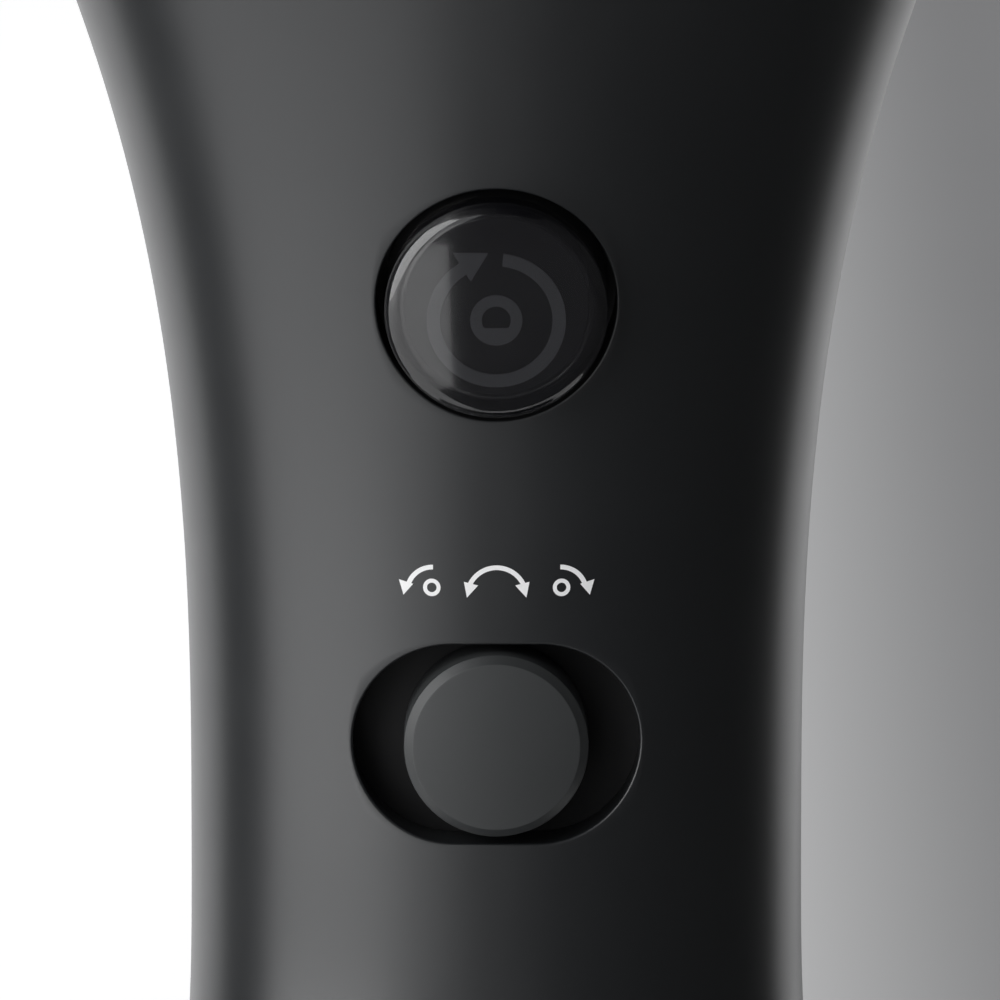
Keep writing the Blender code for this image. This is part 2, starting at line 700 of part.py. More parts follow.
BUTTON_TILT = math.atan(slope_of(half_depth, BUTTON_RISE))
BUTTON_PLACE = Vector((0.0, -half_depth(BUTTON_RISE), BUTTON_Z))
BUTTON_TURN = (math.pi / 2.0 + BUTTON_TILT, 0.0, 0.0)
BUTTON_OUT = Vector((0.0, -math.cos(BUTTON_TILT), -math.sin(BUTTON_TILT)))
BUTTON_STEM_LENGTH = BUTTON_GUIDE_DEPTH + BUTTON_FLANGE_THICKNESS + GAP + BUTTON_STEM_REACH
SELECTOR_FACE_Y = -half_depth(SELECTOR_RISE)
TRAY_Y = SELECTOR_FACE_Y + SLOT_DEPTH + GAP
SCREW_PLACES = ((-UPPER_SCREW_X, UPPER_SCREW_Z), (UPPER_SCREW_X, UPPER_SCREW_Z),
                (-LOWER_SCREW_X, LOWER_SCREW_Z), (LOWER_SCREW_X, LOWER_SCREW_Z))


def on_button_axis(depth):
    # A point on the button's axis, the depth measured inwards from the skin.
    return BUTTON_PLACE - BUTTON_OUT * depth


def upright_plate(name, outlines, start_y, end_y, finish=None, x=0.0, z=0.0):
    # A flat outline in the XZ plane, filling from start_y to end_y.
    place = (x, (start_y + end_y) / 2.0, z)
    return plate(name, outlines, end_y - start_y, finish, place, facing_user())


# ---- housings ----

def drum_outline(radius, rear, front, rear_edge, front_edge, steps=4):
    outline = [(0.0, front)]
    for index in range(steps + 1):
        turn = math.pi / 2.0 * index / steps
        outline.append((radius - front_edge * (1.0 - math.sin(turn)),
                        front - front_edge * (1.0 - math.cos(turn))))
    for index in range(steps + 1):
        turn = math.pi / 2.0 * index / steps
        outline.append((radius - rear_edge * (1.0 - math.cos(turn)),
                        rear + rear_edge * (1.0 - math.sin(turn))))
    outline.append((0.0, rear))
    return outline


def housing_form(name):
    # The full outer form: the grip's loft joined to the barrel.
    rings = [foot_ring(FOOT_BOTTOM_Z)] + [grip_ring(z) for z in grip_levels()]
    form = loft(name, rings, "satin_black")
    drum = barrel_turned(f"{name}_drum", drum_outline(BARREL_RADIUS, BARREL_REAR_Y, BARREL_FRONT_Y,
                                                      BARREL_REAR_EDGE, BARREL_FRONT_EDGE))
    bore = barrel_turned(f"{name}_bore", disc_outline(BORE_RADIUS, BARREL_REAR_Y - REACH_THROUGH,
                                                      BARREL_FRONT_Y + REACH_THROUGH))
    weld(form, drum)
    return form, bore


def grip_hollow(name, posts):
    # The grip's cavity, less the bosses that stand in it. It ends low in the barrel's bore,
    # before its sides would run along the bore's own.
    shoulder = FOOT_SHOULDER_Z - SHOULDER_STEP
    roof = BARREL_Z - BORE_RADIUS * HOLLOW_ROOF_SHARE
    rings = [foot_ring(FOOT_BOTTOM_Z - REACH_THROUGH, WALL), foot_ring(shoulder, WALL)]
    rings += [grip_ring(z, WALL) for z in grip_levels() if z < roof] + [grip_ring(roof, WALL)]
    return cut(loft(name, rings), *posts)


def half_space(name, low_y, high_y):
    reach = BARREL_RADIUS + FOOT_HALF_DEPTH
    top = BARREL_Z + BARREL_RADIUS + REACH_THROUGH
    return block(name, (-reach, low_y, -REACH_THROUGH), (reach, high_y, top))


def sector(inner, outer, middle, spread, steps=4):
    # A ring sector as a flat outline, with its angles in degrees.
    angles = [math.radians(middle + spread * (index / steps - 0.5)) for index in range(steps + 1)]
    points = [(outer * math.cos(angle), outer * math.sin(angle)) for angle in angles]
    return points + [(inner * math.cos(angle), inner * math.sin(angle)) for angle in angles[::-1]]


def lug_angles():
    return [90.0 + 360.0 * index / LUG_COUNT for index in range(LUG_COUNT)]


def make_rear_housing():
    housing, bore = housing_form("rear_housing")
    far_y = -NECK_HALF_DEPTH - REACH_THROUGH
    posts = [rod(f"rear_boss_{index}", SCREW_BOSS_RADIUS, (x, far_y, z),
                 (x, SPLIT_Y + REACH_THROUGH, z))
             for index, (x, z) in enumerate(SCREW_PLACES)]
    posts += [rod(f"control_boss_{index}", BOARD_BOSS_RADIUS, (0.0, far_y, z),
                  (0.0, BOARD_FRONT_Y - GAP, z)) for index, z in enumerate(CONTROL_BOSS_Z)]
    posts.append(rod("button_guide", BUTTON_HOLE_RADIUS + BUTTON_GUIDE_WALL,
                     on_button_axis(-REACH_THROUGH), on_button_axis(BUTTON_GUIDE_DEPTH), None,
                     ROUND_STEPS))
    posts.append(upright_plate("selector_skirt",
                               [obround(SLOT_LENGTH + 2.0 * SLOT_WALL,
                                        SLOT_HEIGHT + 2.0 * SLOT_WALL)],
                               SELECTOR_FACE_Y - REACH_THROUGH, SELECTOR_FACE_Y + SLOT_DEPTH,
                               None, 0.0, SELECTOR_Z))
    cut(housing, half_space("rear_split", SPLIT_Y - GAP / 2.0, BARREL_FRONT_Y + REACH_THROUGH))
    cut(housing, rod("button_hole", BUTTON_HOLE_RADIUS, on_button_axis(-REACH_THROUGH),
                     on_button_axis(BUTTON_GUIDE_DEPTH + REACH_THROUGH), None, ROUND_STEPS))
    cut(housing, upright_plate("selector_slot", [obround(SLOT_LENGTH, SLOT_HEIGHT)],
                               SELECTOR_FACE_Y - REACH_THROUGH,
                               SELECTOR_FACE_Y + SLOT_DEPTH + REACH_THROUGH,
                               None, 0.0, SELECTOR_Z))
    for index, (x, z) in enumerate(SCREW_PLACES):
        cut(housing, rod(f"rear_pilot_{index}", SCREW_RADIUS + GAP, (x, SPLIT_Y, z),
                         (x, SPLIT_Y - SCREW_REACH - GAP, z)))
    for index, z in enumerate(CONTROL_BOSS_Z):
        cut(housing, rod(f"control_pilot_{index}", BOARD_SCREW_RADIUS + GAP,
                         (0.0, BOARD_FRONT_Y, z), (0.0, BOARD_FRONT_Y - BOARD_SCREW_REACH, z)))
    groove_radius = INSERT_RADIUS + LUG_HEIGHT + GAP
    groove_rear = COVER_Y + COVER_SKIRT_LENGTH - LUG_LENGTH - GAP
    cut(housing, barrel_turned("lug_groove", ring_outline(groove_radius, INSERT_RADIUS - WALL,
                                                          groove_rear, GROOVE_FRONT_Y)))
    for index, angle in enumerate(lug_angles()):
        entry = sector(INSERT_RADIUS - WALL, groove_radius, angle - LUG_ENTRY_TURN,
                       LUG_ANGLE + LUG_ENTRY_EASE)
        cut(housing, upright_plate(f"lug_entry_{index}", [entry], BARREL_REAR_Y - REACH_THROUGH,
                                   groove_rear + LUG_LENGTH / 2.0, None, 0.0, BARREL_Z))
    cut(housing, grip_hollow("rear_hollow", posts), bore)


def make_front_housing():
    housing, bore = housing_form("front_housing")
    far_y = FOOT_HALF_DEPTH + REACH_THROUGH
    posts = [rod(f"front_boss_{index}", SCREW_BOSS_RADIUS,
                 (x, SPLIT_Y - REACH_THROUGH, z), (x, far_y, z))
             for index, (x, z) in enumerate(SCREW_PLACES)]
    controller_back = CONTROLLER_Y + BOARD_THICKNESS + GAP
    posts += [rod(f"controller_boss_{index}", BOARD_BOSS_RADIUS, (0.0, controller_back, z),
                  (0.0, far_y, z)) for index, z in enumerate(CONTROLLER_BOSS_Z)]
    cut(housing, half_space("front_split", BARREL_REAR_Y - REACH_THROUGH, SPLIT_Y + GAP / 2.0))
    seat_y = SPLIT_Y + SCREW_SEAT_DEPTH
    for index, (x, z) in enumerate(SCREW_PLACES):
        cut(housing,
            rod(f"screw_hole_{index}", SCREW_RADIUS + GAP, (x, SPLIT_Y - GAP, z),
                (x, seat_y + GAP, z)),
            rod(f"head_hole_{index}", SCREW_HEAD_RADIUS + GAP, (x, seat_y - GAP, z),
                (x, far_y, z)))
    for index, z in enumerate(CONTROLLER_BOSS_Z):
        cut(housing, rod(f"controller_pilot_{index}", BOARD_SCREW_RADIUS + GAP,
                         (0.0, controller_back - GAP, z),
                         (0.0, CONTROLLER_Y + BOARD_SCREW_REACH + GAP, z)))
    # The notch starts behind the wall's rounded corners, so that the release hooks pass out.
    notch_y = FOOT_HALF_DEPTH - BEZEL_DEPTH - 2.0 * WALL
    cut(housing,
        block("bezel_notch", (-BEZEL_HALF_WIDTH - GAP, notch_y, FOOT_BOTTOM_Z - REACH_THROUGH),
              (BEZEL_HALF_WIDTH + GAP, far_y, PACK_TOP_Z + BEZEL_HEIGHT + GAP)),
        block("rail_notch", (-RAIL_HALF_HEAD - GAP, notch_y, FOOT_BOTTOM_Z),
              (RAIL_HALF_HEAD + GAP, far_y, RAIL_TOP_Z + GAP)))
    cut(housing, grip_hollow("front_hollow", posts), bore)


def make_screw(name, x, z, seat_y, head_side, radius, head_radius, head_height, reach):
    # head_side is +1 for a head towards +Y and -1 for a head towards -Y.
    outline = [(0.0, head_height), (head_radius * 0.8, head_height),
               (head_radius, head_height * 0.6), (head_radius, 0.0), (radius, 0.0),
               (radius, -reach), (0.0, -reach)]
    rotation = along_y() if head_side > 0 else facing_user()
    turned(name, outline, "steel", (x, seat_y, z), rotation, 12)


def make_housing_screws():
    for index, (x, z) in enumerate(SCREW_PLACES):
        make_screw(f"housing_screw_{index + 1}", x, z, SPLIT_Y + SCREW_SEAT_DEPTH, 1, SCREW_RADIUS,
                   SCREW_HEAD_RADIUS, SCREW_HEAD_HEIGHT, SCREW_SEAT_DEPTH + SCREW_REACH - GAP)


# ---- intake ----

def slot_comb(name, count, inner, outer, width, start_y, end_y):
    # Radial slots around the barrel's axis, as one cutter.
    bm = bmesh.new()
    for index in range(count):
        turn = Matrix.Rotation(2.0 * math.pi * (index + 0.5) / count, 4, "Y")
        place = Matrix.Translation(((inner + outer) / 2.0, (start_y + end_y) / 2.0, 0.0))
        size = Matrix.Diagonal((outer - inner, end_y - start_y, width, 1.0))
        bmesh.ops.create_cube(bm, size=1.0, matrix=turn @ place @ size)
    return add_object(name, mesh_from(bm, name), None, (0.0, 0.0, BARREL_Z))


def make_intake():
    rim = BARREL_RADIUS - GAP
    skirt_bore = INSERT_RADIUS - COVER_SKIRT_WALL
    skirt_end = COVER_Y + COVER_SKIRT_LENGTH
    dish_y = COVER_REAR_Y + COVER_EDGE_WIDTH
    mesh_radius = skirt_bore - COVER_EDGE_WIDTH
    outline = [(0.0, COVER_PLATE_FRONT_Y), (skirt_bore, COVER_PLATE_FRONT_Y),
               (skirt_bore, skirt_end), (INSERT_RADIUS, skirt_end), (INSERT_RADIUS, COVER_Y),
               (rim, COVER_Y)]
    for index in range(5):
        turn = math.pi / 2.0 * index / 4
        outline.append((rim - COVER_EDGE_WIDTH * (1.0 - math.cos(turn)),
                        COVER_REAR_Y + COVER_EDGE_WIDTH * (1.0 - math.sin(turn))))
    outline += [(mesh_radius + COVER_EDGE_WIDTH, COVER_REAR_Y), (mesh_radius, dish_y),
                (0.0, dish_y)]
    cover = barrel_turned("intake_cover", outline, "dark_plastic")
    cut(cover,
        slot_comb("cover_slots", COVER_SLOT_COUNT, COVER_RING_RADIUS + COVER_RING_WIDTH / 2.0,
                  mesh_radius - COVER_SLOT_WIDTH / 2.0, COVER_SLOT_WIDTH,
                  dish_y - REACH_THROUGH, COVER_PLATE_FRONT_Y + REACH_THROUGH),
        slot_comb("cover_inner_slots", COVER_INNER_SLOT_COUNT, COVER_HUB_RADIUS,
                  COVER_RING_RADIUS - COVER_RING_WIDTH / 2.0, COVER_SLOT_WIDTH,
                  dish_y - REACH_THROUGH, COVER_PLATE_FRONT_Y + REACH_THROUGH))
    for index, angle in enumerate(lug_angles()):
        lug = sector(INSERT_RADIUS - LUG_HEIGHT, INSERT_RADIUS + LUG_HEIGHT, angle, LUG_ANGLE)
        weld(cover, upright_plate(f"cover_lug_{index}", [lug], skirt_end - LUG_LENGTH, skirt_end,
                                  None, 0.0, BARREL_Z))
    barrel_turned("intake_filter", disc_outline(skirt_bore - GAP, COVER_PLATE_FRONT_Y + GAP,
                                                COVER_PLATE_FRONT_Y + GAP + FILTER_THICKNESS),
                  "foam")


# ---- fan duct and motor ----

def quarter(from_radius, to_radius, from_y, to_y, steps=4, radial_first=True):
    # A quarter ellipse that leaves radially and arrives along the axis, or the other way.
    points = []
    for index in range(steps + 1):
        turn = math.pi / 2.0 * index / steps
        first, second = math.sin(turn), 1.0 - math.cos(turn)
        if not radial_first:
            first, second = second, first
        points.append((from_radius + (to_radius - from_radius) * first,
                       from_y + (to_y - from_y) * second))
    return points


def make_fan_duct():
    lip_radius = INSERT_RADIUS - LIP_WIDTH
    bell_y = SHROUD_REAR_Y + BELLMOUTH_LENGTH
    outline = [(INSERT_RADIUS, SHROUD_FRONT_Y), (INSERT_RADIUS, SHROUD_FRONT_Y - FLANGE_THICKNESS),
               (DUCT_OUTER_RADIUS, SHROUD_FRONT_Y - FLANGE_THICKNESS),
               (DUCT_OUTER_RADIUS, bell_y), (INSERT_RADIUS, SHROUD_REAR_Y + FLANGE_THICKNESS),
               (INSERT_RADIUS, SHROUD_REAR_Y)]
    outline += quarter(lip_radius, DUCT_RADIUS, SHROUD_REAR_Y, bell_y)
    outline.append((DUCT_RADIUS, SHROUD_FRONT_Y))
    barrel_turned("fan_shroud", outline, "grey_plastic")


def blade_mesh(index):
    # One fan blade: a thin plate, twisted from root to tip.
    rings = []
    turn = 2.0 * math.pi * index / BLADE_COUNT
    root = HUB_RADIUS - 2.0 * MM
    tip = DUCT_RADIUS - RUNNING_GAP
    middle_y = IMPELLER_FRONT_Y - BLADE_TIP_CHORD / 2.0
    radial = Vector((math.cos(turn), 0.0, math.sin(turn)))
    around = Vector((-math.sin(turn), 0.0, math.cos(turn)))
    for station in range(4):
        t = station / 3.0
        chord = BLADE_ROOT_CHORD + (BLADE_TIP_CHORD - BLADE_ROOT_CHORD) * t
        stagger = math.radians(BLADE_ROOT_STAGGER + (BLADE_TIP_STAGGER - BLADE_ROOT_STAGGER) * t)
        along = Vector((0.0, math.cos(stagger), 0.0)) + around * math.sin(stagger)
        across = Vector((0.0, -math.sin(stagger), 0.0)) + around * math.cos(stagger)
        reach = chord / 2.0
        # The tip's corners lie on the duct's circle, not outside it.
        off_axis = reach * math.sin(stagger) + BLADE_THICKNESS
        radius = root + (math.sqrt(tip ** 2 - off_axis ** 2) - root) * t
        centre = radial * radius + Vector((0.0, middle_y, 0.0))
        rings.append([centre + along * reach * u + across * BLADE_THICKNESS / 2.0 * v
                      for u, v in ((-1, -1), (1, -1), (1, 1), (-1, 1))])
    return rings


def make_impeller():
    outline = [(SHAFT_CLEAR_RADIUS, IMPELLER_FRONT_Y), (HUB_RADIUS, IMPELLER_FRONT_Y)]
    outline += quarter(HUB_RADIUS, HUB_NOSE_RADIUS, IMPELLER_REAR_Y + HUB_NOSE_LENGTH,
                       IMPELLER_REAR_Y, 5, False)
    outline.append((SHAFT_CLEAR_RADIUS, IMPELLER_REAR_Y))
    impeller = barrel_turned("impeller", outline, "grey_plastic")
    for index in range(BLADE_COUNT):
        weld(impeller, loft(f"blade_{index}", blade_mesh(index), None, (0.0, 0.0, BARREL_Z)))
    nut_front = IMPELLER_REAR_Y - GAP
    nut = rod("impeller_nut", NUT_RADIUS, (0.0, nut_front - NUT_LENGTH, BARREL_Z),
              (0.0, nut_front, BARREL_Z), "brass", 6)
    cut(nut, rod("nut_bore", SHAFT_CLEAR_RADIUS, (0.0, nut_front - 2.0 * NUT_LENGTH, BARREL_Z),
                 (0.0, nut_front + NUT_LENGTH, BARREL_Z)))
    barrel_turned("motor_shaft", disc_outline(SHAFT_RADIUS, SHAFT_REAR_Y, MOTOR_FRONT_Y - GAP),
                  "steel", steps=SMALL_ROUND_STEPS)


def make_motor():
    seat = BEARING_RADIUS + GAP
    end_bell_front = END_BELL_Y + END_BELL_THICKNESS
    small = SMALL_ROUND_STEPS
    barrel_turned("motor_end_bell", ring_outline(MOTOR_RADIUS, seat, END_BELL_Y, end_bell_front),
                  "aluminium")
    barrel_turned("rear_bearing", ring_outline(BEARING_RADIUS, SHAFT_CLEAR_RADIUS, END_BELL_Y,
                                               end_bell_front), "steel", steps=small)
    barrel_turned("motor_can", [(MOTOR_RADIUS, MOTOR_FRONT_Y), (MOTOR_RADIUS, MOTOR_REAR_Y),
                                (CAN_BORE, MOTOR_REAR_Y), (CAN_BORE, CAN_END_Y),
                                (seat, CAN_END_Y), (seat, MOTOR_FRONT_Y)], "steel")
    barrel_turned("front_bearing", ring_outline(BEARING_RADIUS, SHAFT_CLEAR_RADIUS, CAN_END_Y,
                                                MOTOR_FRONT_Y), "steel", steps=small)
    core_rear = STATOR_MIDDLE_Y - STATOR_LENGTH / 2.0
    core_front = STATOR_MIDDLE_Y + STATOR_LENGTH / 2.0
    core_radius = CAN_BORE - GAP
    core = barrel_turned("stator_core", ring_outline(core_radius, STATOR_BORE, core_rear,
                                                     core_front), "steel")
    cut(core, slot_comb("stator_slots", STATOR_SLOT_COUNT, STATOR_BORE - STATOR_YOKE,
                        core_radius - STATOR_YOKE, STATOR_SLOT_WIDTH, core_rear - REACH_THROUGH,
                        core_front + REACH_THROUGH))
    for name, start in (("rear_winding", core_rear - GAP - WINDING_LENGTH),
                        ("front_winding", core_front + GAP)):
        barrel_turned(name, ring_outline(core_radius - GAP, STATOR_BORE + GAP, start,
                                         start + WINDING_LENGTH), "copper", steps=small)
    barrel_turned("rotor_magnet", ring_outline(STATOR_BORE - RUNNING_GAP, SHAFT_CLEAR_RADIUS,
                                               core_rear, core_front), "steel", steps=small)


def make_motor_mount():
    ring_radius = DUCT_RADIUS - GAP
    ring_bore = ring_radius - MOUNT_RING_WALL
    ring_rear = MOUNT_FRONT_Y - MOUNT_RING_LENGTH
    mount = barrel_turned("motor_mount", ring_outline(MOUNT_RADIUS, MOUNT_BORE, END_BELL_Y,
                                                      MOUNT_FRONT_Y), "grey_plastic")
    vanes = slot_comb("mount_vanes", VANE_COUNT, MOUNT_BORE + MOUNT_WALL / 2.0,
                      ring_bore + MOUNT_RING_WALL / 2.0, VANE_THICKNESS,
                      ring_rear + VANE_THICKNESS, MOUNT_FRONT_Y - VANE_THICKNESS)
    ring = barrel_turned("mount_ring", ring_outline(ring_radius, ring_bore, ring_rear,
                                                    MOUNT_FRONT_Y))
    weld(mount, ring, vanes)
    base = MOUNT_FRONT_Y + GAP
    tip = base + TAIL_CONE_LENGTH
    spigot = MOUNT_BORE - GAP
    outline = [(0.0, tip), (TAIL_TIP_RADIUS, tip)]
    outline += quarter(TAIL_TIP_RADIUS, MOUNT_RADIUS, tip, base, 4)[1:]
    outline += [(spigot, base), (spigot, TAIL_Y), (0.0, TAIL_Y)]
    barrel_turned("tail_cone", outline, "grey_plastic")


# ---- outlet ----

def gear_outline(teeth, phase):
    # Straight-sided teeth, with one tooth's middle at the phase angle.
    pitch_radius = GEAR_MODULE * teeth / 2.0
    pitch_angle = 2.0 * math.pi / teeth
    points = []
    for index in range(teeth):
        middle = math.radians(phase) + pitch_angle * index
        for radius, share in ((pitch_radius - TOOTH_ROOT, -TOOTH_SHARE_AT_ROOT),
                              (pitch_radius + TOOTH_TIP, -TOOTH_SHARE_AT_TIP),
                              (pitch_radius + TOOTH_TIP, TOOTH_SHARE_AT_TIP),
                              (pitch_radius - TOOTH_ROOT, TOOTH_SHARE_AT_ROOT)):
            angle = middle + share * pitch_angle / 2.0
            points.append((radius * math.cos(angle), radius * math.sin(angle)))
    return points


def make_outlet_drive():
    cone_radius = NOZZLE_BORE + DUCT_WALL
    flange_y = CONE_Y + FLANGE_THICKNESS
    cone = [(cone_radius, THROAT_END_Y), (cone_radius, THROAT_Y), (DUCT_OUTER_RADIUS, flange_y),
            (INSERT_RADIUS, flange_y), (INSERT_RADIUS, CONE_Y), (DUCT_RADIUS, CONE_Y),
            (NOZZLE_BORE, THROAT_Y), (NOZZLE_BORE, THROAT_END_Y)]
    barrel_turned("outlet_cone", cone, "grey_plastic")
    drive_z = BARREL_Z + GEAR_CENTRES
    shaft_hole = PINION_SHAFT_RADIUS + GAP
    drive_plate = barrel_turned("drive_plate", ring_outline(INSERT_RADIUS, cone_radius + GAP,
                                                            DRIVE_PLATE_Y, DRIVE_PLATE_FRONT_Y),
                                "aluminium")
    cut(drive_plate, rod("drive_shaft_hole", shaft_hole,
                         (0.0, DRIVE_PLATE_Y - REACH_THROUGH, drive_z),
                         (0.0, DRIVE_PLATE_FRONT_Y + REACH_THROUGH, drive_z)))
    gear_motor = rod("gear_motor", GEAR_MOTOR_RADIUS,
                     (0.0, GEAR_MOTOR_FRONT_Y - GEAR_MOTOR_LENGTH, drive_z),
                     (0.0, GEAR_MOTOR_FRONT_Y, drive_z), "steel")
    cut(gear_motor, rod("gear_motor_bore", shaft_hole,
                        (0.0, GEAR_MOTOR_FRONT_Y - PINION_SHAFT_DEPTH - GAP, drive_z),
                        (0.0, GEAR_MOTOR_FRONT_Y + REACH_THROUGH, drive_z)))
    gap_phase = -90.0 + 180.0 / PINION_TEETH
    gear_end = GEAR_Y + GEAR_WIDTH
    pinion = upright_plate("pinion", [gear_outline(PINION_TEETH, gap_phase)], GEAR_Y, gear_end,
                           "natural_nylon", 0.0, drive_z)
    weld(pinion, rod("pinion_shaft", PINION_SHAFT_RADIUS,
                     (0.0, GEAR_MOTOR_FRONT_Y - PINION_SHAFT_DEPTH, drive_z),
                     (0.0, gear_end - GAP, drive_z), None, 12))
    bore = oval(GEAR_BORE, GEAR_BORE, 2.0)
    upright_plate("nozzle_gear", [gear_outline(NOZZLE_GEAR_TEETH, 90.0), bore], GEAR_Y, gear_end,
                  "natural_nylon", 0.0, BARREL_Z)
    barrel_turned("front_ring", [(INSERT_RADIUS, BARREL_FRONT_Y), (INSERT_RADIUS, FRONT_RING_Y),
                                 (GEAR_BORE, FRONT_RING_Y), (GEAR_BORE, BARREL_FRONT_Y)],
                  "aluminium")


def nozzle_ring(y, half_x, half_z=None, square=2.0):
    outline = oval(half_x, half_x if half_z is None else half_z, square)
    return [(x, y, z) for x, z in outline]


def taper_rings(wall):
    # Round at the collar, flat at the mouth.
    rings = []
    for index in range(NOZZLE_RINGS + 1):
        t = index / NOZZLE_RINGS
        blend = t * t * (3.0 - 2.0 * t)
        half_x = NOZZLE_COLLAR_RADIUS + (MOUTH_HALF_WIDTH - NOZZLE_COLLAR_RADIUS) * blend
        half_z = NOZZLE_COLLAR_RADIUS + (MOUTH_HALF_HEIGHT - NOZZLE_COLLAR_RADIUS) * blend
        square = 2.0 + (MOUTH_SQUARENESS - 2.0) * blend
        rings.append(nozzle_ring(TAPER_Y + NOZZLE_TAPER_LENGTH * t, half_x - wall,
                                 half_z - wall, square))
    return rings


def make_nozzle():
    flange_radius = NOZZLE_TUBE_RADIUS + NOZZLE_FLANGE
    flange_end = NOZZLE_FLANGE_Y + NOZZLE_FLANGE_THICKNESS
    outer = [nozzle_ring(NOZZLE_REAR_Y, NOZZLE_TUBE_RADIUS),
             nozzle_ring(NOZZLE_FLANGE_Y, NOZZLE_TUBE_RADIUS),
             nozzle_ring(NOZZLE_FLANGE_Y, flange_radius),
             nozzle_ring(flange_end, flange_radius),
             nozzle_ring(flange_end, NOZZLE_TUBE_RADIUS),
             nozzle_ring(COLLAR_Y, NOZZLE_TUBE_RADIUS),
             nozzle_ring(COLLAR_Y, NOZZLE_COLLAR_RADIUS)] + taper_rings(0.0)
    place = (0.0, 0.0, BARREL_Z)
    nozzle = loft("nozzle", outer, "dark_plastic", place)
    mouth = nozzle_ring(MOUTH_Y + REACH_THROUGH, MOUTH_HALF_WIDTH - MOUTH_WALL,
                        MOUTH_HALF_HEIGHT - MOUTH_WALL, MOUTH_SQUARENESS)
    inner = [nozzle_ring(NOZZLE_REAR_Y - REACH_THROUGH, NOZZLE_BORE),
             nozzle_ring(COLLAR_Y + MOUTH_WALL, NOZZLE_BORE)] + taper_rings(MOUTH_WALL) + [mouth]
    cut(nozzle, loft("nozzle_hollow", inner, None, place))


# ---- push button ----

def make_button():
    roof = BUTTON_PROUD - BUTTON_CROWN - BUTTON_LENS_SKIN
    lens_bore = BUTTON_CAP_RADIUS - BUTTON_LENS_WALL
    core = lens_bore - GAP
    face = BUTTON_PROUD - BUTTON_CROWN
    cap = [(0.0, BUTTON_PROUD), (BUTTON_CAP_RADIUS / 2.0, BUTTON_PROUD - BUTTON_CROWN / 3.0)]
    for index in range(4):
        turn = math.pi / 2.0 * index / 3
        cap.append((BUTTON_CAP_RADIUS - BUTTON_EDGE * (1.0 - math.sin(turn)),
                    face - BUTTON_EDGE * (1.0 - math.cos(turn))))
    cap += [(BUTTON_CAP_RADIUS, -BUTTON_SKIRT), (lens_bore, -BUTTON_SKIRT), (lens_bore, roof),
            (0.0, roof)]
    turned("button_cap", cap, "smoked_lens", BUTTON_PLACE, BUTTON_TURN)
    symbol_top = roof - GAP
    turned("button_symbol", disc_outline(core, symbol_top - SYMBOL_THICKNESS, symbol_top),
           "symbol_grey", BUTTON_PLACE, BUTTON_TURN)
    flange_top = -BUTTON_GUIDE_DEPTH - GAP
    flange_low = flange_top - BUTTON_FLANGE_THICKNESS
    body = [(0.0, symbol_top - SYMBOL_THICKNESS - GAP), (core, symbol_top - SYMBOL_THICKNESS - GAP),
            (core, -BUTTON_SKIRT - GAP), (BUTTON_CAP_RADIUS, -BUTTON_SKIRT - GAP),
            (BUTTON_CAP_RADIUS, flange_top), (BUTTON_HOLE_RADIUS + BUTTON_GUIDE_WALL, flange_top),
            (BUTTON_HOLE_RADIUS + BUTTON_GUIDE_WALL, flange_low), (BUTTON_STEM_RADIUS, flange_low),
            (BUTTON_STEM_RADIUS, -BUTTON_STEM_LENGTH), (0.0, -BUTTON_STEM_LENGTH)]
    turned("button_body", body, "dark_plastic", BUTTON_PLACE, BUTTON_TURN, 24)
    reach = BUTTON_SPRING_RADIUS + SPRING_WIRE
    foot_depth = ((BOARD_FRONT_Y - GAP - BUTTON_PLACE.y - reach * math.sin(BUTTON_TILT))
                  / math.cos(BUTTON_TILT))
    spring("button_spring", BUTTON_SPRING_RADIUS, foot_depth + flange_low - GAP,
           BUTTON_SPRING_TURNS, "steel", on_button_axis(foot_depth), BUTTON_TURN)
    stem_end = on_button_axis(BUTTON_STEM_LENGTH + BUTTON_TRAVEL)
    plunger_y = stem_end.y + BUTTON_STEM_RADIUS * math.sin(BUTTON_TILT) + SWITCH_MARGIN
    half = SWITCH_SIDE / 2.0
    body_y = BOARD_FRONT_Y - GAP
    switch = block("button_switch", (-half, body_y - SWITCH_HEIGHT, stem_end.z - half),
                   (half, body_y, stem_end.z + half), "dark_plastic")
    weld(switch, rod("switch_plunger", SWITCH_PLUNGER_RADIUS,
                     (0.0, body_y - SWITCH_HEIGHT / 2.0, stem_end.z),
                     (0.0, plunger_y, stem_end.z), None, 16))


# ---- direction selector ----

def rectangle(length, height):
    x, y = length / 2.0, height / 2.0
    return [(-x, -y), (x, -y), (x, y), (-x, y)]


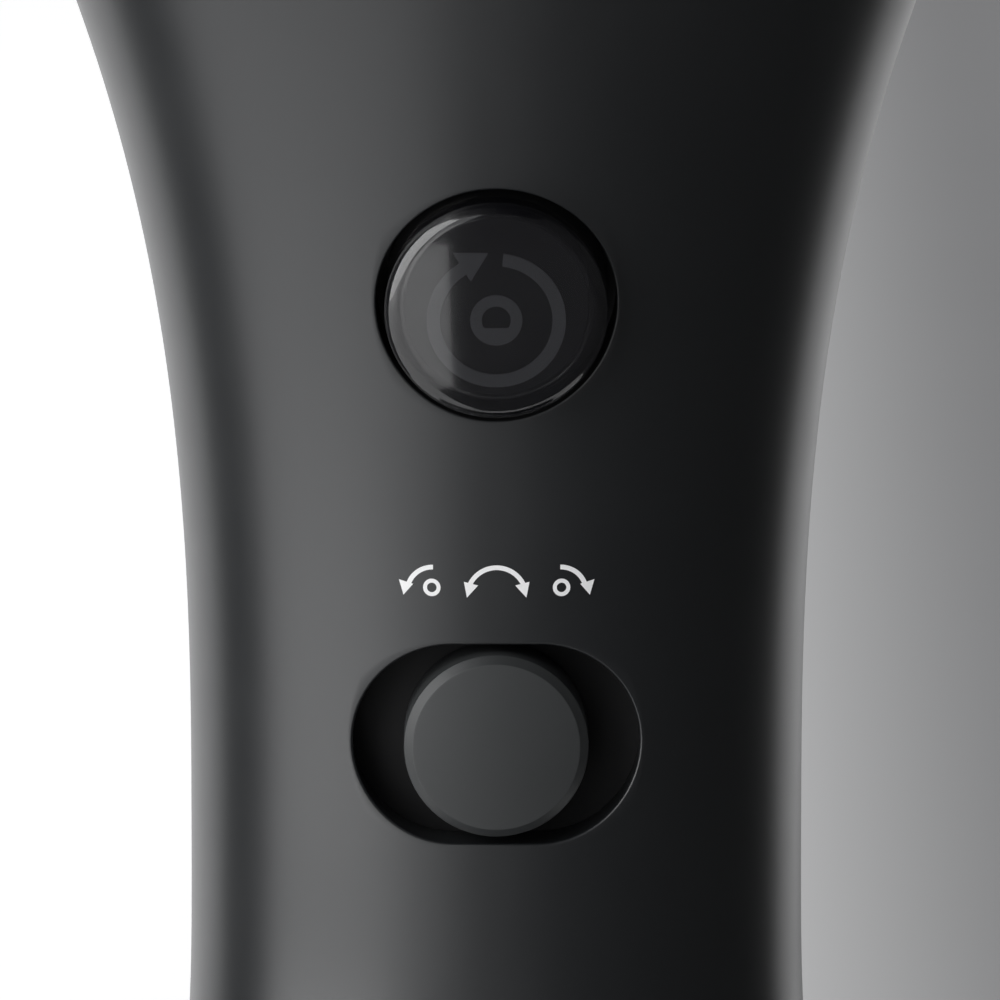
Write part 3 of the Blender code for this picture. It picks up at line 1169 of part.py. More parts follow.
def make_selector():
    stem_slit = STEM_SIDE + 2.0 * GAP
    tray = [obround(SLOT_LENGTH + 2.0 * SLOT_WALL, SLOT_HEIGHT + 2.0 * SLOT_WALL),
            rectangle(stem_slit + 2.0 * SELECTOR_TRAVEL, stem_slit)]
    upright_plate("selector_tray", tray, TRAY_Y, TRAY_Y + TRAY_THICKNESS, "dark_plastic", 0.0,
                  SELECTOR_Z)
    knob_outline = [(0.0, KNOB_PROUD), (KNOB_RADIUS - KNOB_CHAMFER, KNOB_PROUD),
                    (KNOB_RADIUS, KNOB_PROUD - KNOB_CHAMFER), (KNOB_RADIUS, -SLOT_DEPTH),
                    (0.0, -SLOT_DEPTH)]
    knob = turned("selector_knob", knob_outline, "knob_black", (0.0, SELECTOR_FACE_Y, SELECTOR_Z),
                  facing_user())
    switch_back = BOARD_FRONT_Y - GAP
    channel_floor = switch_back - SLIDE_SWITCH_FLOOR
    half = STEM_SIDE / 2.0
    weld(knob, block("knob_stem", (-half, SELECTOR_FACE_Y + SLOT_DEPTH / 2.0, SELECTOR_Z - half),
                     (half, channel_floor - GAP, SELECTOR_Z + half)))
    carriage_y = TRAY_Y + TRAY_THICKNESS + GAP
    upright_plate("selector_carriage",
                  [rectangle(CARRIAGE_LENGTH, CARRIAGE_HEIGHT), rectangle(stem_slit, stem_slit)],
                  carriage_y, carriage_y + CARRIAGE_THICKNESS, "natural_nylon", 0.0, SELECTOR_Z)
    switch = block("slide_switch",
                   (-SLIDE_SWITCH_LENGTH / 2.0, switch_back - SLIDE_SWITCH_DEPTH,
                    SELECTOR_Z - SLIDE_SWITCH_HEIGHT / 2.0),
                   (SLIDE_SWITCH_LENGTH / 2.0, switch_back,
                    SELECTOR_Z + SLIDE_SWITCH_HEIGHT / 2.0), "steel")
    channel = half + SELECTOR_TRAVEL + GAP
    cut(switch, block("slide_channel",
                      (-channel, switch_back - SLIDE_SWITCH_DEPTH - REACH_THROUGH,
                       SELECTOR_Z - half - GAP),
                      (channel, channel_floor, SELECTOR_Z + half + GAP)))


# ---- boards ----

def make_board(name, width, start_y, low_z, high_z, screw_heights):
    board = block(name, (-width / 2.0, start_y, low_z),
                  (width / 2.0, start_y + BOARD_THICKNESS, high_z), "board_green")
    for index, z in enumerate(screw_heights):
        cut(board, rod(f"{name}_hole_{index}", BOARD_SCREW_RADIUS + GAP,
                       (0.0, start_y - REACH_THROUGH, z),
                       (0.0, start_y + BOARD_THICKNESS + REACH_THROUGH, z)))


def make_boards():
    make_board("control_board", CONTROL_BOARD_WIDTH, CONTROL_BOARD_Y, CONTROL_BOARD_LOW_Z,
               CONTROL_BOARD_HIGH_Z, CONTROL_BOSS_Z)
    make_board("motor_controller", CONTROLLER_WIDTH, CONTROLLER_Y, CONTROLLER_LOW_Z,
               CONTROLLER_HIGH_Z, CONTROLLER_BOSS_Z)
    reach = BOARD_SCREW_REACH - GAP
    for index, z in enumerate(CONTROL_BOSS_Z):
        make_screw(f"control_screw_{index + 1}", 0.0, z, BOARD_BACK_Y + GAP, 1, BOARD_SCREW_RADIUS,
                   BOARD_SCREW_HEAD_RADIUS, BOARD_SCREW_HEAD_HEIGHT, reach)
    for index, z in enumerate(CONTROLLER_BOSS_Z):
        make_screw(f"controller_screw_{index + 1}", 0.0, z, CONTROLLER_Y - GAP, -1,
                   BOARD_SCREW_RADIUS, BOARD_SCREW_HEAD_RADIUS, BOARD_SCREW_HEAD_HEIGHT, reach)


# ---- battery receiver in the foot ----

def terminal_y():
    # The terminal block's front face, which the rail's rear end meets.
    return RAIL_REAR_Y - GAP


def contact_blocks(prefix, margin, front_y):
    # The two blade contacts, or with a margin the slots that they enter.
    half_x = BLADE_CONTACT_THICKNESS / 2.0 + margin
    half_z = BLADE_CONTACT_HEIGHT / 2.0 + margin
    return [block(f"{prefix}_{index}",
                  (x - half_x, terminal_y() - GAP, BLADE_CONTACT_Z - half_z),
                  (x + half_x, front_y + margin, BLADE_CONTACT_Z + half_z))
            for index, x in enumerate((-BLADE_CONTACT_X, BLADE_CONTACT_X))]


def hook_groove_x():
    inner = HOOK_INNER_X - RELEASE_TRAVEL - 2.0 * GAP
    return inner, HOOK_INNER_X + HOOK_THICKNESS + GAP


def make_receiver():
    receiver = loft("battery_receiver", [foot_ring(RECEIVER_BOTTOM_Z, WALL + GAP),
                                         foot_ring(RECEIVER_TOP_Z, WALL + GAP)], "grey_plastic")
    front = FOOT_HALF_DEPTH + REACH_THROUGH
    below = RECEIVER_BOTTOM_Z - REACH_THROUGH
    bezel_y = FOOT_HALF_DEPTH - BEZEL_DEPTH
    neck = RAIL_HALF_NECK + GAP
    head = RAIL_HALF_HEAD + GAP
    block_rear = terminal_y() - TERMINAL_DEPTH - GAP
    cut(receiver,
        block("receiver_front", (-FOOT_HALF_WIDTH, bezel_y - GAP, below),
              (FOOT_HALF_WIDTH, front, RECEIVER_TOP_Z + REACH_THROUGH)),
        block("neck_channel", (-neck, terminal_y(), below), (neck, front, RAIL_HEAD_Z)),
        block("head_channel", (-head, block_rear, RAIL_HEAD_Z - GAP),
              (head, front, RAIL_TOP_Z + GAP)),
        rod("cable_window", CABLE_RADIUS + CABLE_SLACK, (0.0, cable_exit_y(), RAIL_HEAD_Z),
            (0.0, cable_exit_y(), RECEIVER_TOP_Z + REACH_THROUGH)))
    inner, outer = hook_groove_x()
    for name, side in (("left", -1.0), ("right", 1.0)):
        low_x, high_x = sorted((side * inner, side * outer))
        cut(receiver, block(f"{name}_hook_groove",
                            (low_x, RELEASE_Y - HOOK_WIDTH / 2.0 - GAP, below),
                            (high_x, front, PACK_TOP_Z + BEZEL_HEIGHT + GAP)))
    terminal = block("terminal_block",
                     (-TERMINAL_HALF_WIDTH, terminal_y() - TERMINAL_DEPTH, RAIL_HEAD_Z),
                     (TERMINAL_HALF_WIDTH, terminal_y(), RAIL_TOP_Z), "dark_plastic")
    weld(terminal, *contact_blocks("contact", 0.0, terminal_y() + BLADE_CONTACT_LENGTH))


def cable_exit_y():
    return terminal_y() - TERMINAL_DEPTH / 2.0


# ---- battery pack ----

def release_blocks(name, side):
    # The cap's window, the lid's slot for the hook, and the button's own blocks.
    low_y, high_y = RELEASE_Y - RELEASE_LENGTH / 2.0, RELEASE_Y + RELEASE_LENGTH / 2.0
    low_z, high_z = RELEASE_Z - RELEASE_HEIGHT / 2.0, RELEASE_Z + RELEASE_HEIGHT / 2.0
    flange_x = FOOT_HALF_WIDTH - RELEASE_FLANGE_INSET
    flange_inner = flange_x - RELEASE_FLANGE_THICKNESS
    hook_y = (RELEASE_Y - HOOK_WIDTH / 2.0, RELEASE_Y + HOOK_WIDTH / 2.0)

    def sided(part_name, low, high):
        (x_1, y_1, z_1), (x_2, y_2, z_2) = low, high
        first, last = sorted((side * x_1, side * x_2))
        return block(f"{name}_{part_name}", (first, y_1, z_1), (last, y_2, z_2))

    window = sided("window", (flange_inner, low_y - GAP, low_z - GAP),
                   (FOOT_HALF_WIDTH + REACH_THROUGH, high_y + GAP, high_z + GAP))
    groove_inner, groove_outer = hook_groove_x()
    slot = sided("hook_slot", (groove_inner, hook_y[0] - GAP, PACK_TOP_Z - PACK_ROOF - GAP),
                 (groove_outer, hook_y[1] + GAP, PACK_TOP_Z + GAP))
    cap_root = flange_x - RELEASE_FLANGE_THICKNESS / 2.0
    cap_face = FOOT_HALF_WIDTH + RELEASE_PROUD
    cap = block(f"release_button_{name}",
                (min(side * cap_root, side * cap_face), low_y, low_z),
                (max(side * cap_root, side * cap_face), high_y, high_z), "knob_black", GAP)
    arm_z = HOOK_ARM_TOP_Z - RELEASE_FLANGE_THICKNESS
    hook_outer = HOOK_INNER_X + HOOK_THICKNESS
    riser_inner, riser_outer = flange_inner + GAP, flange_x - GAP
    hook_outline = [(riser_outer, RELEASE_Z), (riser_outer, HOOK_ARM_TOP_Z),
                    (hook_outer, HOOK_ARM_TOP_Z), (hook_outer, HOOK_TOP_Z),
                    (HOOK_INNER_X, HOOK_TOP_Z), (HOOK_INNER_X, arm_z), (riser_inner, arm_z),
                    (riser_inner, RELEASE_Z)]
    weld(cap,
         sided("flange", (flange_inner, low_y - RELEASE_FLANGE, low_z - RELEASE_FLANGE),
               (flange_x, high_y + RELEASE_FLANGE, high_z + RELEASE_FLANGE)),
         upright_plate(f"{name}_hook", [[(side * x, z) for x, z in hook_outline]], *hook_y))
    spring_turn = (0.0, side * math.pi / 2.0, 0.0)
    spring(f"release_spring_{name}", RELEASE_SPRING_RADIUS,
           flange_inner - SPRING_STOP_X - 2.0 * GAP, RELEASE_SPRING_TURNS, "steel",
           (side * (SPRING_STOP_X + GAP), RELEASE_Y, RELEASE_SPRING_Z), spring_turn)
    stop = sided("spring_stop", (SPRING_STOP_X - SPRING_STOP_THICKNESS,
                                 CELL_FRONT_Y + GAP, PAD_TOP_Z + GAP),
                 (SPRING_STOP_X, RELEASE_Y + RELEASE_SPRING_RADIUS, PACK_PARTING_Z - GAP))
    return window, slot, stop


def make_battery():
    floor_z = PAD_TOP_Z + GAP + PACK_FLOOR
    roof_z = PACK_TOP_Z - PACK_ROOF
    pad_ring = [(x, y) for x, y in oval(FOOT_HALF_WIDTH - PAD_MARGIN, FOOT_HALF_DEPTH - PAD_MARGIN,
                                        FOOT_SQUARENESS)]
    plate("base_pad", [pad_ring], PAD_THICKNESS, "rubber", (0.0, 0.0, PAD_THICKNESS / 2.0))
    recess = loft("pad_recess", [foot_ring(-REACH_THROUGH, PAD_MARGIN - GAP),
                                 foot_ring(PAD_TOP_Z + GAP, PAD_MARGIN - GAP)])
    case = loft("battery_case", [foot_ring(PAD_PROUD, PACK_EDGE),
                                 foot_ring(PAD_PROUD + PACK_EDGE / 2.0, PACK_EDGE / 4.0),
                                 foot_ring(PAD_PROUD + PACK_EDGE),
                                 foot_ring(PACK_PARTING_Z - GAP / 2.0)], "satin_black")
    cut(case, loft("case_hollow", [foot_ring(floor_z, PACK_WALL),
                                   foot_ring(PACK_PARTING_Z + REACH_THROUGH, PACK_WALL)]), recess)
    bezel_y = FOOT_HALF_DEPTH - BEZEL_DEPTH
    bezel_z = PACK_TOP_Z + BEZEL_HEIGHT
    past_x, past_y = FOOT_HALF_WIDTH + REACH_THROUGH, FOOT_HALF_DEPTH + REACH_THROUGH
    lid = loft("battery_lid", [foot_ring(PACK_PARTING_Z + GAP / 2.0), foot_ring(bezel_z)],
               "satin_black")
    cut(lid,
        block("lid_top", (-past_x, -past_y, PACK_TOP_Z), (past_x, bezel_y, BARREL_Z)),
        block("bezel_left", (-past_x, 0.0, PACK_TOP_Z), (-BEZEL_HALF_WIDTH, past_y, BARREL_Z)),
        block("bezel_right", (BEZEL_HALF_WIDTH, 0.0, PACK_TOP_Z), (past_x, past_y, BARREL_Z)),
        loft("lid_hollow", [foot_ring(PACK_PARTING_Z - REACH_THROUGH, PACK_WALL),
                            foot_ring(roof_z, PACK_WALL)]))
    weld(lid,
         block("rail_neck", (-RAIL_HALF_NECK, RAIL_REAR_Y, PACK_TOP_Z - PACK_ROOF / 2.0),
               (RAIL_HALF_NECK, bezel_y + BEZEL_DEPTH / 2.0, RAIL_HEAD_Z + BEZEL_DEPTH / 4.0)),
         block("rail_head", (-RAIL_HALF_HEAD, RAIL_REAR_Y, RAIL_HEAD_Z),
               (RAIL_HALF_HEAD, FOOT_HALF_DEPTH - RAIL_END_INSET, RAIL_TOP_Z)))
    pocket_z = RAIL_HEAD_Z + RAIL_POCKET_FLOOR
    socket_end = RAIL_REAR_Y + TERMINAL_LENGTH
    cut(lid, block("terminal_pocket", (-TERMINAL_HALF_WIDTH, RAIL_REAR_Y - REACH_THROUGH,
                                       pocket_z),
                   (TERMINAL_HALF_WIDTH, socket_end + GAP, RAIL_TOP_Z + REACH_THROUGH)))
    sockets = block("battery_terminals",
                    (-TERMINAL_HALF_WIDTH + GAP, RAIL_REAR_Y, pocket_z + GAP),
                    (TERMINAL_HALF_WIDTH - GAP, socket_end, RAIL_TOP_Z), "brass")
    cut(sockets, *contact_blocks("socket", GAP, terminal_y() + BLADE_CONTACT_LENGTH))
    for name, side in (("left", -1.0), ("right", 1.0)):
        window, slot, stop = release_blocks(name, side)
        weld(case, stop)
        cut(case, window)
        cut(lid, window, slot)
    for index in range(CELL_COUNT):
        x = CELL_SPACING * (index - (CELL_COUNT - 1) / 2.0)
        rod(f"cell_{index + 1}", CELL_RADIUS, (x, CELL_REAR_Y, CELL_Z),
            (x, CELL_FRONT_Y, CELL_Z), "cell_wrap", 24)
    board_y = RELEASE_Y + RELEASE_LENGTH / 2.0
    block("cell_board", (-CELL_BOARD_HALF_WIDTH, board_y, floor_z + GAP),
          (CELL_BOARD_HALF_WIDTH, board_y + BOARD_THICKNESS, floor_z + GAP + CELL_BOARD_HEIGHT),
          "board_green")


# ---- cables ----

def make_cables():
    controller_y = CONTROLLER_Y + BOARD_THICKNESS / 2.0
    exit_y = cable_exit_y()
    start_z = RAIL_TOP_Z + 2.0 * GAP
    end_z = CONTROLLER_LOW_Z - GAP
    tube("battery_cable", [(0.0, exit_y, start_z), (0.0, exit_y, start_z + CABLE_RADIUS),
                           (0.0, exit_y, RECEIVER_TOP_Z + CABLE_RADIUS),
                           (0.0, exit_y * 0.72, 0.7 * RECEIVER_TOP_Z + 0.3 * end_z),
                           (0.0, exit_y * 0.38, 0.4 * RECEIVER_TOP_Z + 0.6 * end_z),
                           (0.0, controller_y * 0.6, 0.15 * RECEIVER_TOP_Z + 0.85 * end_z),
                           (0.0, controller_y, end_z)], CABLE_RADIUS, "red_cable")
    shroud_z = BARREL_Z - DUCT_OUTER_RADIUS - GAP
    tube("motor_cable", [(0.0, controller_y, CONTROLLER_HIGH_Z + GAP),
                         (0.0, controller_y, 0.8 * CONTROLLER_HIGH_Z + 0.2 * shroud_z),
                         (0.0, controller_y * 0.7, 0.3 * CONTROLLER_HIGH_Z + 0.7 * shroud_z),
                         (0.0, controller_y * 0.7, shroud_z)], CABLE_RADIUS, "red_cable", 12)


empty_scene()
PARTS = new_collection("car_dryer_blower")
CUTTERS = new_collection("cutters")

make_rear_housing()
make_front_housing()
make_housing_screws()
make_intake()
make_fan_duct()
make_impeller()
make_motor()
make_motor_mount()
make_outlet_drive()
make_nozzle()
make_button()
make_selector()
make_boards()
make_receiver()
make_battery()
make_cables()
shade_parts()
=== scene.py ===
# The looks of a cordless car dryer blower: a waisted black grip with a lens button and a
# sliding direction knob, under a ducted fan barrel with a turning nozzle, on a battery foot.
# Sizes are in millimetres, and a finished piece is brought to metres.
import json
from contextlib import contextmanager
from math import asin, atan2, copysign, cos, pi, radians, sin, sqrt

import bmesh
import bpy
from mathutils import Matrix, Vector


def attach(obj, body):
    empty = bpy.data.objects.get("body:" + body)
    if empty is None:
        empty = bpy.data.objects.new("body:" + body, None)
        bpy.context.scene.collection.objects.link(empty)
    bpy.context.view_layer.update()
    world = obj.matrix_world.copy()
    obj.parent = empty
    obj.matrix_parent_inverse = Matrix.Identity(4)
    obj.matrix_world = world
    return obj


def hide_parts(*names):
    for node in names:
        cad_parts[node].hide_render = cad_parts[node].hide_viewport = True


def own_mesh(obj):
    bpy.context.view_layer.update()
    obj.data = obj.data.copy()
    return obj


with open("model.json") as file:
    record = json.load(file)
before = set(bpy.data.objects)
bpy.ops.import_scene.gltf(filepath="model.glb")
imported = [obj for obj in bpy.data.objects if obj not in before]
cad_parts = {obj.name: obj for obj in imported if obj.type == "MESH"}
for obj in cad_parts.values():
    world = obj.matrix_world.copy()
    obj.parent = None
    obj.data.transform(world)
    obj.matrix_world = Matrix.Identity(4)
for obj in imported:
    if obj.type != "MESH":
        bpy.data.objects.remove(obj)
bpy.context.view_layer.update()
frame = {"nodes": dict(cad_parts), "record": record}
print("frame loaded:", len(frame["nodes"]), "nodes")

mm = 0.001
skim = 0.01                 # a fine face stays this far inside the frame's own face
onPlane = 0.01              # a corner this close to a plane lies in it
foldAngle = 0.8             # two faces that turn by more, in radians, meet in a sharp edge
split = {"y": 2.0, "halfGap": 0.01, "edge": 0.28}
barrel = {"z": 183.0, "radius": 38.0, "ends": (-72.0, 70.0), "endEdges": (0.8, 1.4),
          "columns": 160, "rowStep": 1.5, "windowReach": (37.0, 35.0), "windowHalf": 76.5}
grip = {
    "waistZ": 78.0, "waist": (20.0, 19.6),                  # half width, half depth
    "footShoulder": 36.0, "footBottom": 26.0, "foot": (36.0, 48.0), "soft": 3.0,
    "flareReach": 53.0, "flareGain": (7.2, 4.6), "flarePower": 2.6,
    "neck": (35.8, 44.0), "neckSlope": (0.0, 0.2),
    "squareness": 2.35, "footSquareness": 5.0, "wall": 2.2,
    "filletDrop": 5.0, "filletReach": (0.8, 3.6), "filletRows": 6, "rowStep": 1.15, "levelRows": 11,
}
alongBarrel = Matrix.Translation((0.0, 0.0, barrel["z"])) @ Matrix.Rotation(-pi / 2.0, 4, "X")


def deselectAll():
    bpy.ops.object.select_all(action="DESELECT")


def takeUp(obj):
    deselectAll()
    obj.select_set(True)
    bpy.context.view_layer.objects.active = obj


def applyPlace():
    bpy.ops.object.transform_apply(location=True, rotation=True, scale=True)


def linked(name, data):
    obj = bpy.data.objects.new(name, data)
    bpy.context.scene.collection.objects.link(obj)
    return obj


def selectMesh():
    bpy.ops.mesh.select_all(action="SELECT")


def turnOutward():
    selectMesh()
    bpy.ops.mesh.normals_make_consistent(inside=False)


def bevelPicked(width, segments):
    bpy.ops.mesh.bevel(offset=width, segments=segments, affect="EDGES")


@contextmanager
def editing(obj, kind="EDGE"):
    takeUp(obj)
    bpy.ops.object.mode_set(mode="EDIT")
    bpy.ops.mesh.select_mode(type=kind)
    bpy.ops.mesh.select_all(action="DESELECT")
    yield
    bpy.ops.object.mode_set(mode="OBJECT")


@contextmanager
def meshOf(obj):
    # the mesh in edit mode, written back at the end
    yield bmesh.from_edit_mesh(obj.data)
    bmesh.update_edit_mesh(obj.data)


def mergeAndTurn(obj):
    with editing(obj, "VERT"):
        selectMesh()
        bpy.ops.mesh.remove_doubles(threshold=0.001)
        turnOutward()


def pick(obj, part, test):
    # selects the vertices, edges or faces that pass the test, in edit mode
    bpy.ops.mesh.select_all(action="DESELECT")
    with meshOf(obj) as bm:
        for item in [item for item in getattr(bm, part) if test(item)]:
            item.select_set(True)


def lies(edge, test):
    return all(test(corner.co) for corner in edge.verts)


def fillBorder(obj, test):
    # a face over the open edges whose two ends pass the test
    pick(obj, "edges", lambda edge: len(edge.link_faces) < 2 and lies(edge, test))
    bpy.ops.mesh.edge_face_add()


def nextRing(obj, points, row=None):
    # extrudes the selected edges; each new corner goes to the point of its spot number
    bpy.ops.mesh.extrude_region_move()
    with meshOf(obj) as bm:
        spots = bm.verts.layers.int["spot"]
        for corner in bm.verts:
            if corner.select:
                corner.co = points[corner[spots]]
                if row is not None:
                    corner[bm.verts.layers.int["row"]] = row


def startRing(name, points):
    deselectAll()
    bpy.ops.mesh.primitive_circle_add(vertices=len(points), radius=1.0)
    obj = bpy.context.object
    obj.name = name
    with editing(obj), meshOf(obj) as bm:
        spots = bm.verts.layers.int.new("spot")
        for spot, corner in enumerate(bm.verts):
            corner[spots] = spot
            corner.co = points[spot]
    return obj


def loft(name, rings, closed=False):
    # a skin over rings of points; closed joins the last ring to the first, or else both are capped
    obj = startRing(name, rings[0])
    with editing(obj):
        if not closed:
            selectMesh()
            bpy.ops.mesh.edge_face_add()
            bpy.ops.mesh.select_all(action="DESELECT")
        with meshOf(obj) as bm:
            for edge in bm.edges:
                edge.select_set(True)
        if not closed:
            bpy.ops.mesh.select_mode(type="EDGE")
        for ring in rings[1:]:
            nextRing(obj, ring)
        if closed:
            nextRing(obj, rings[0])
            selectMesh()
            bpy.ops.mesh.remove_doubles(threshold=0.0005)
        else:
            bpy.ops.mesh.edge_face_add()
        turnOutward()
    return obj


def polar(radius, angle, centre=(0.0, 0.0)):
    return centre[0] + radius * cos(angle), centre[1] + radius * sin(angle)


def around(place, radius, angle, height):
    # a point about the local Z of a place
    return place @ Vector((*polar(radius, angle), height))


def quarterRound(steps):
    # along a quarter turn, the shares of the radius that are gained one way and left the other
    turns = [pi / 2.0 * step / steps for step in range(steps + 1)]
    return [(1.0 - cos(turn), 1.0 - sin(turn)) for turn in turns]


def arc(centre, radius, start=0.0, end=360.0, steps=48):
    # the points of a round, its angles in degrees; a whole turn leaves out its last point
    count = steps if abs(end - start) >= 360.0 else steps + 1
    return [polar(radius, radians(start + (end - start) * step / steps), centre)
            for step in range(count)]


def band(centre, outer, inner, start, end, steps):
    return arc(centre, outer, start, end, steps) + arc(centre, inner, start, end, steps)[::-1]


def turned(name, outline, place, steps):
    # a lathed piece: the outline is (radius, height) about local Z, closed where it leaves the axis
    onAxis = outline[0][0] == outline[-1][0] == 0.0
    tip = 1e-4              # the radius of a ring on the axis, until it is merged
    angles = [2.0 * pi * step / steps for step in range(steps)]
    rings = [[around(place, max(radius, tip), angle, height) for angle in angles]
             for radius, height in outline]
    obj = loft(name, rings, closed=not onAxis)
    if onAxis:
        mergeAndTurn(obj)
    return obj


def box(name, low, high, edge=0.0):
    deselectAll()
    low, high = Vector(low), Vector(high)
    bpy.ops.mesh.primitive_cube_add(size=1.0, location=(low + high) / 2.0)
    obj = bpy.context.object
    obj.name = name
    obj.scale = high - low
    applyPlace()
    if edge > 0.0:
        with editing(obj):
            selectMesh()
            bevelPicked(edge, 2)
    return obj


def combine(target, tool, operation="DIFFERENCE"):
    takeUp(target)
    modifier = target.modifiers.new(operation.title(), "BOOLEAN")
    modifier.operation = operation
    modifier.solver = "EXACT"
    modifier.object = tool
    bpy.ops.object.modifier_apply(modifier=modifier.name)
    bpy.data.objects.remove(tool)


def frameCopy(node):
    # a merged copy of a frame node, in millimetres
    deselectAll()
    copy = linked(node + "_copy", frame["nodes"][node].data.copy())
    with editing(copy, "VERT"):
        selectMesh()
        bpy.ops.transform.resize(value=(1.0 / mm,) * 3, center_override=(0.0, 0.0, 0.0))
        bpy.ops.mesh.remove_doubles(threshold=0.002)
    copy.data.materials.clear()
    return copy


def finishPiece(obj, slot, body, nodes, sharp=32.0, finish=None):
    takeUp(obj)
    obj.scale = (mm,) * 3
    applyPlace()
    bpy.ops.object.shade_smooth_by_angle(angle=radians(sharp))
    obj.data.materials.clear()
    obj.data.materials.append(finishes[finish or slot])
    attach(obj, body)
    if nodes:
        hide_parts(*nodes)
    print("  piece", obj.name, len(obj.data.polygons), "faces")


view = {"aim": (0.24, 0.0, 97.9), "tilt": 10.0, "distance": 1000.0, "frameWidth": 65.4,
        "sensor": 36.0, "clip": (0.01, 60.0)}


def addCamera():
    tilt = radians(view["tilt"])
    back = Vector((0.0, -cos(tilt), sin(tilt)))
    place = (Vector(view["aim"]) + view["distance"] * back) * mm
    bpy.ops.object.camera_add(location=place, rotation=(pi / 2.0 - tilt, 0.0, 0.0))
    camera = bpy.context.object
    camera.data.sensor_width = view["sensor"]
    camera.data.lens = view["sensor"] * view["distance"] / view["frameWidth"]
    camera.data.clip_start, camera.data.clip_end = view["clip"]
    bpy.context.scene.camera = camera


addCamera()
print("camera placed")


class Wire:
    # a socket, with the sums of Python written as Math nodes
    def __init__(self, nodes, socket):
        self.nodes, self.socket = nodes, socket

    def maths(self, operation, *values):
        return self.nodes.add("ShaderNodeMath", dict(enumerate(values)), {"operation": operation})

    def __add__(self, other):
        return self.maths("ADD", self, other)

    def __sub__(self, other):
        return self.maths("SUBTRACT", self, other)

    def __rsub__(self, other):
        return self.maths("SUBTRACT", other, self)

    def __mul__(self, other):
        return self.maths("MULTIPLY", self, other)

    __radd__, __rmul__ = __add__, __mul__


class NodeSet:
    # the nodes of one material or world; places are in metres, sizes and heights in millimetres
    def __init__(self, tree):
        self.tree = tree
        self.tree.nodes.clear()

    def add(self, kind, inputs=None, settings=None, output=0):
        node = self.tree.nodes.new(kind)
        for name, value in (settings or {}).items():
            setattr(node, name, value)
        for name, value in (inputs or {}).items():
            if isinstance(value, Wire):
                self.tree.links.new(value.socket, node.inputs[name])
            else:
                node.inputs[name].default_value = value
        self.last = node
        return Wire(self, node.outputs[output]) if node.outputs else None

    def objectPlace(self, stretch=(1.0, 1.0, 1.0)):
        place = self.add("ShaderNodeTexCoord", output="Object")
        return self.add("ShaderNodeMapping", {"Vector": place, "Scale": stretch})

    def noise(self, place, size, detail=3.0, rough=0.55):
        return self.add("ShaderNodeTexNoise", {"Vector": place, "Scale": 1.0 / (size * mm),
                                               "Detail": detail, "Roughness": rough})

    def ramp(self, value, low, high, start=0.0, end=1.0):
        return self.add("ShaderNodeMapRange",
                        {"Value": value, "From Min": low, "From Max": high, "To Min": start,
                         "To Max": end}, {"interpolation_type": "SMOOTHSTEP"})

    def blend(self, share, *colours):
        # two colours, each a wire or its three numbers
        first, second = [(*colour, 1.0) if isinstance(colour, tuple) else colour
                         for colour in colours]
        return self.add("ShaderNodeMix", {"Factor": share, 6: first, 7: second},
                        {"data_type": "RGBA"}, 2)

    def bump(self, height, strength, distance):
        return self.add("ShaderNodeBump", {"Height": height, "Strength": strength,
                                           "Distance": distance * mm})

    def seen(self):
        # 1 on rays from the camera, straight, mirrored or through the lens
        seen = self.add("ShaderNodeLightPath")
        paths = self.last.outputs
        for kind in ("Is Glossy Ray", "Is Transmission Ray"):
            seen = seen.maths("MAXIMUM", seen, Wire(self, paths[kind]))
        return seen


class Look(NodeSet):
    # a new material with a Principled shader
    def __init__(self, name, **constants):
        self.material = bpy.data.materials.new(name)
        self.material.use_nodes = True
        super().__init__(self.material.node_tree)
        shaded = self.add("ShaderNodeBsdfPrincipled")
        self.shader = self.last
        self.add("ShaderNodeOutputMaterial", {"Surface": shaded})
        for key, value in constants.items():
            self.shader.inputs[key.replace("_", " ")].default_value = value

    def feed(self, socket, value):
        self.tree.links.new(value.socket, self.shader.inputs[socket])


def mouldedPlastic(name, colour, roughness, grain=0.10, grainDepth=0.012, specular=0.5, spread=0.12):
    # satin moulded plastic: a fine spark-eroded grain, cloudy sheen and faint handling marks
    look = Look(name, Specular_IOR_Level=specular)
    place = look.objectPlace()
    cloud = look.noise(place, 9.0, 4.0)
    fine = look.noise(place, grain, 2.0, 0.7)
    dark, light = [tuple(channel * (1.0 + sign * spread) for channel in colour) for sign in (-1, 1)]
    uneven = 0.035
    look.feed("Base Color", look.blend(cloud * 0.6 + fine * 0.4, dark, light))
    look.feed("Roughness", cloud * (2.0 * uneven) + (roughness - uneven) + (fine - 0.5) * 0.05)
    look.feed("Normal", look.bump(fine, 0.25, grainDepth))
    return look.material


def mottled(name, grain, tones, sheen, socket="Base Color", alpha=None, **constants):
    # colour and roughness follow one noise; sheen and alpha are its gain and its least value
    look = Look(name, **constants)
    cloud = look.noise(look.objectPlace(), *grain)
    look.feed(socket, look.blend(cloud, *tones))
    look.feed("Roughness", cloud * sheen[0] + sheen[1])
    if alpha:
        look.feed("Alpha", cloud * alpha[0] + alpha[1])
    return look.material


def brushedMetal(name, colour, roughness):
    look = Look(name, Metallic=1.0)
    lines = look.noise(look.objectPlace((1.0, 12.0, 1.0)), 1.5)
    tarnish = look.noise(look.objectPlace(), 4.0)
    dark = tuple(channel * 0.82 for channel in colour)
    look.feed("Base Color", look.blend(tarnish, dark, colour))
    look.feed("Roughness", lines * 0.16 + (roughness - 0.08))
    look.feed("Normal", look.bump(lines, 0.15, 0.01))
    return look.material


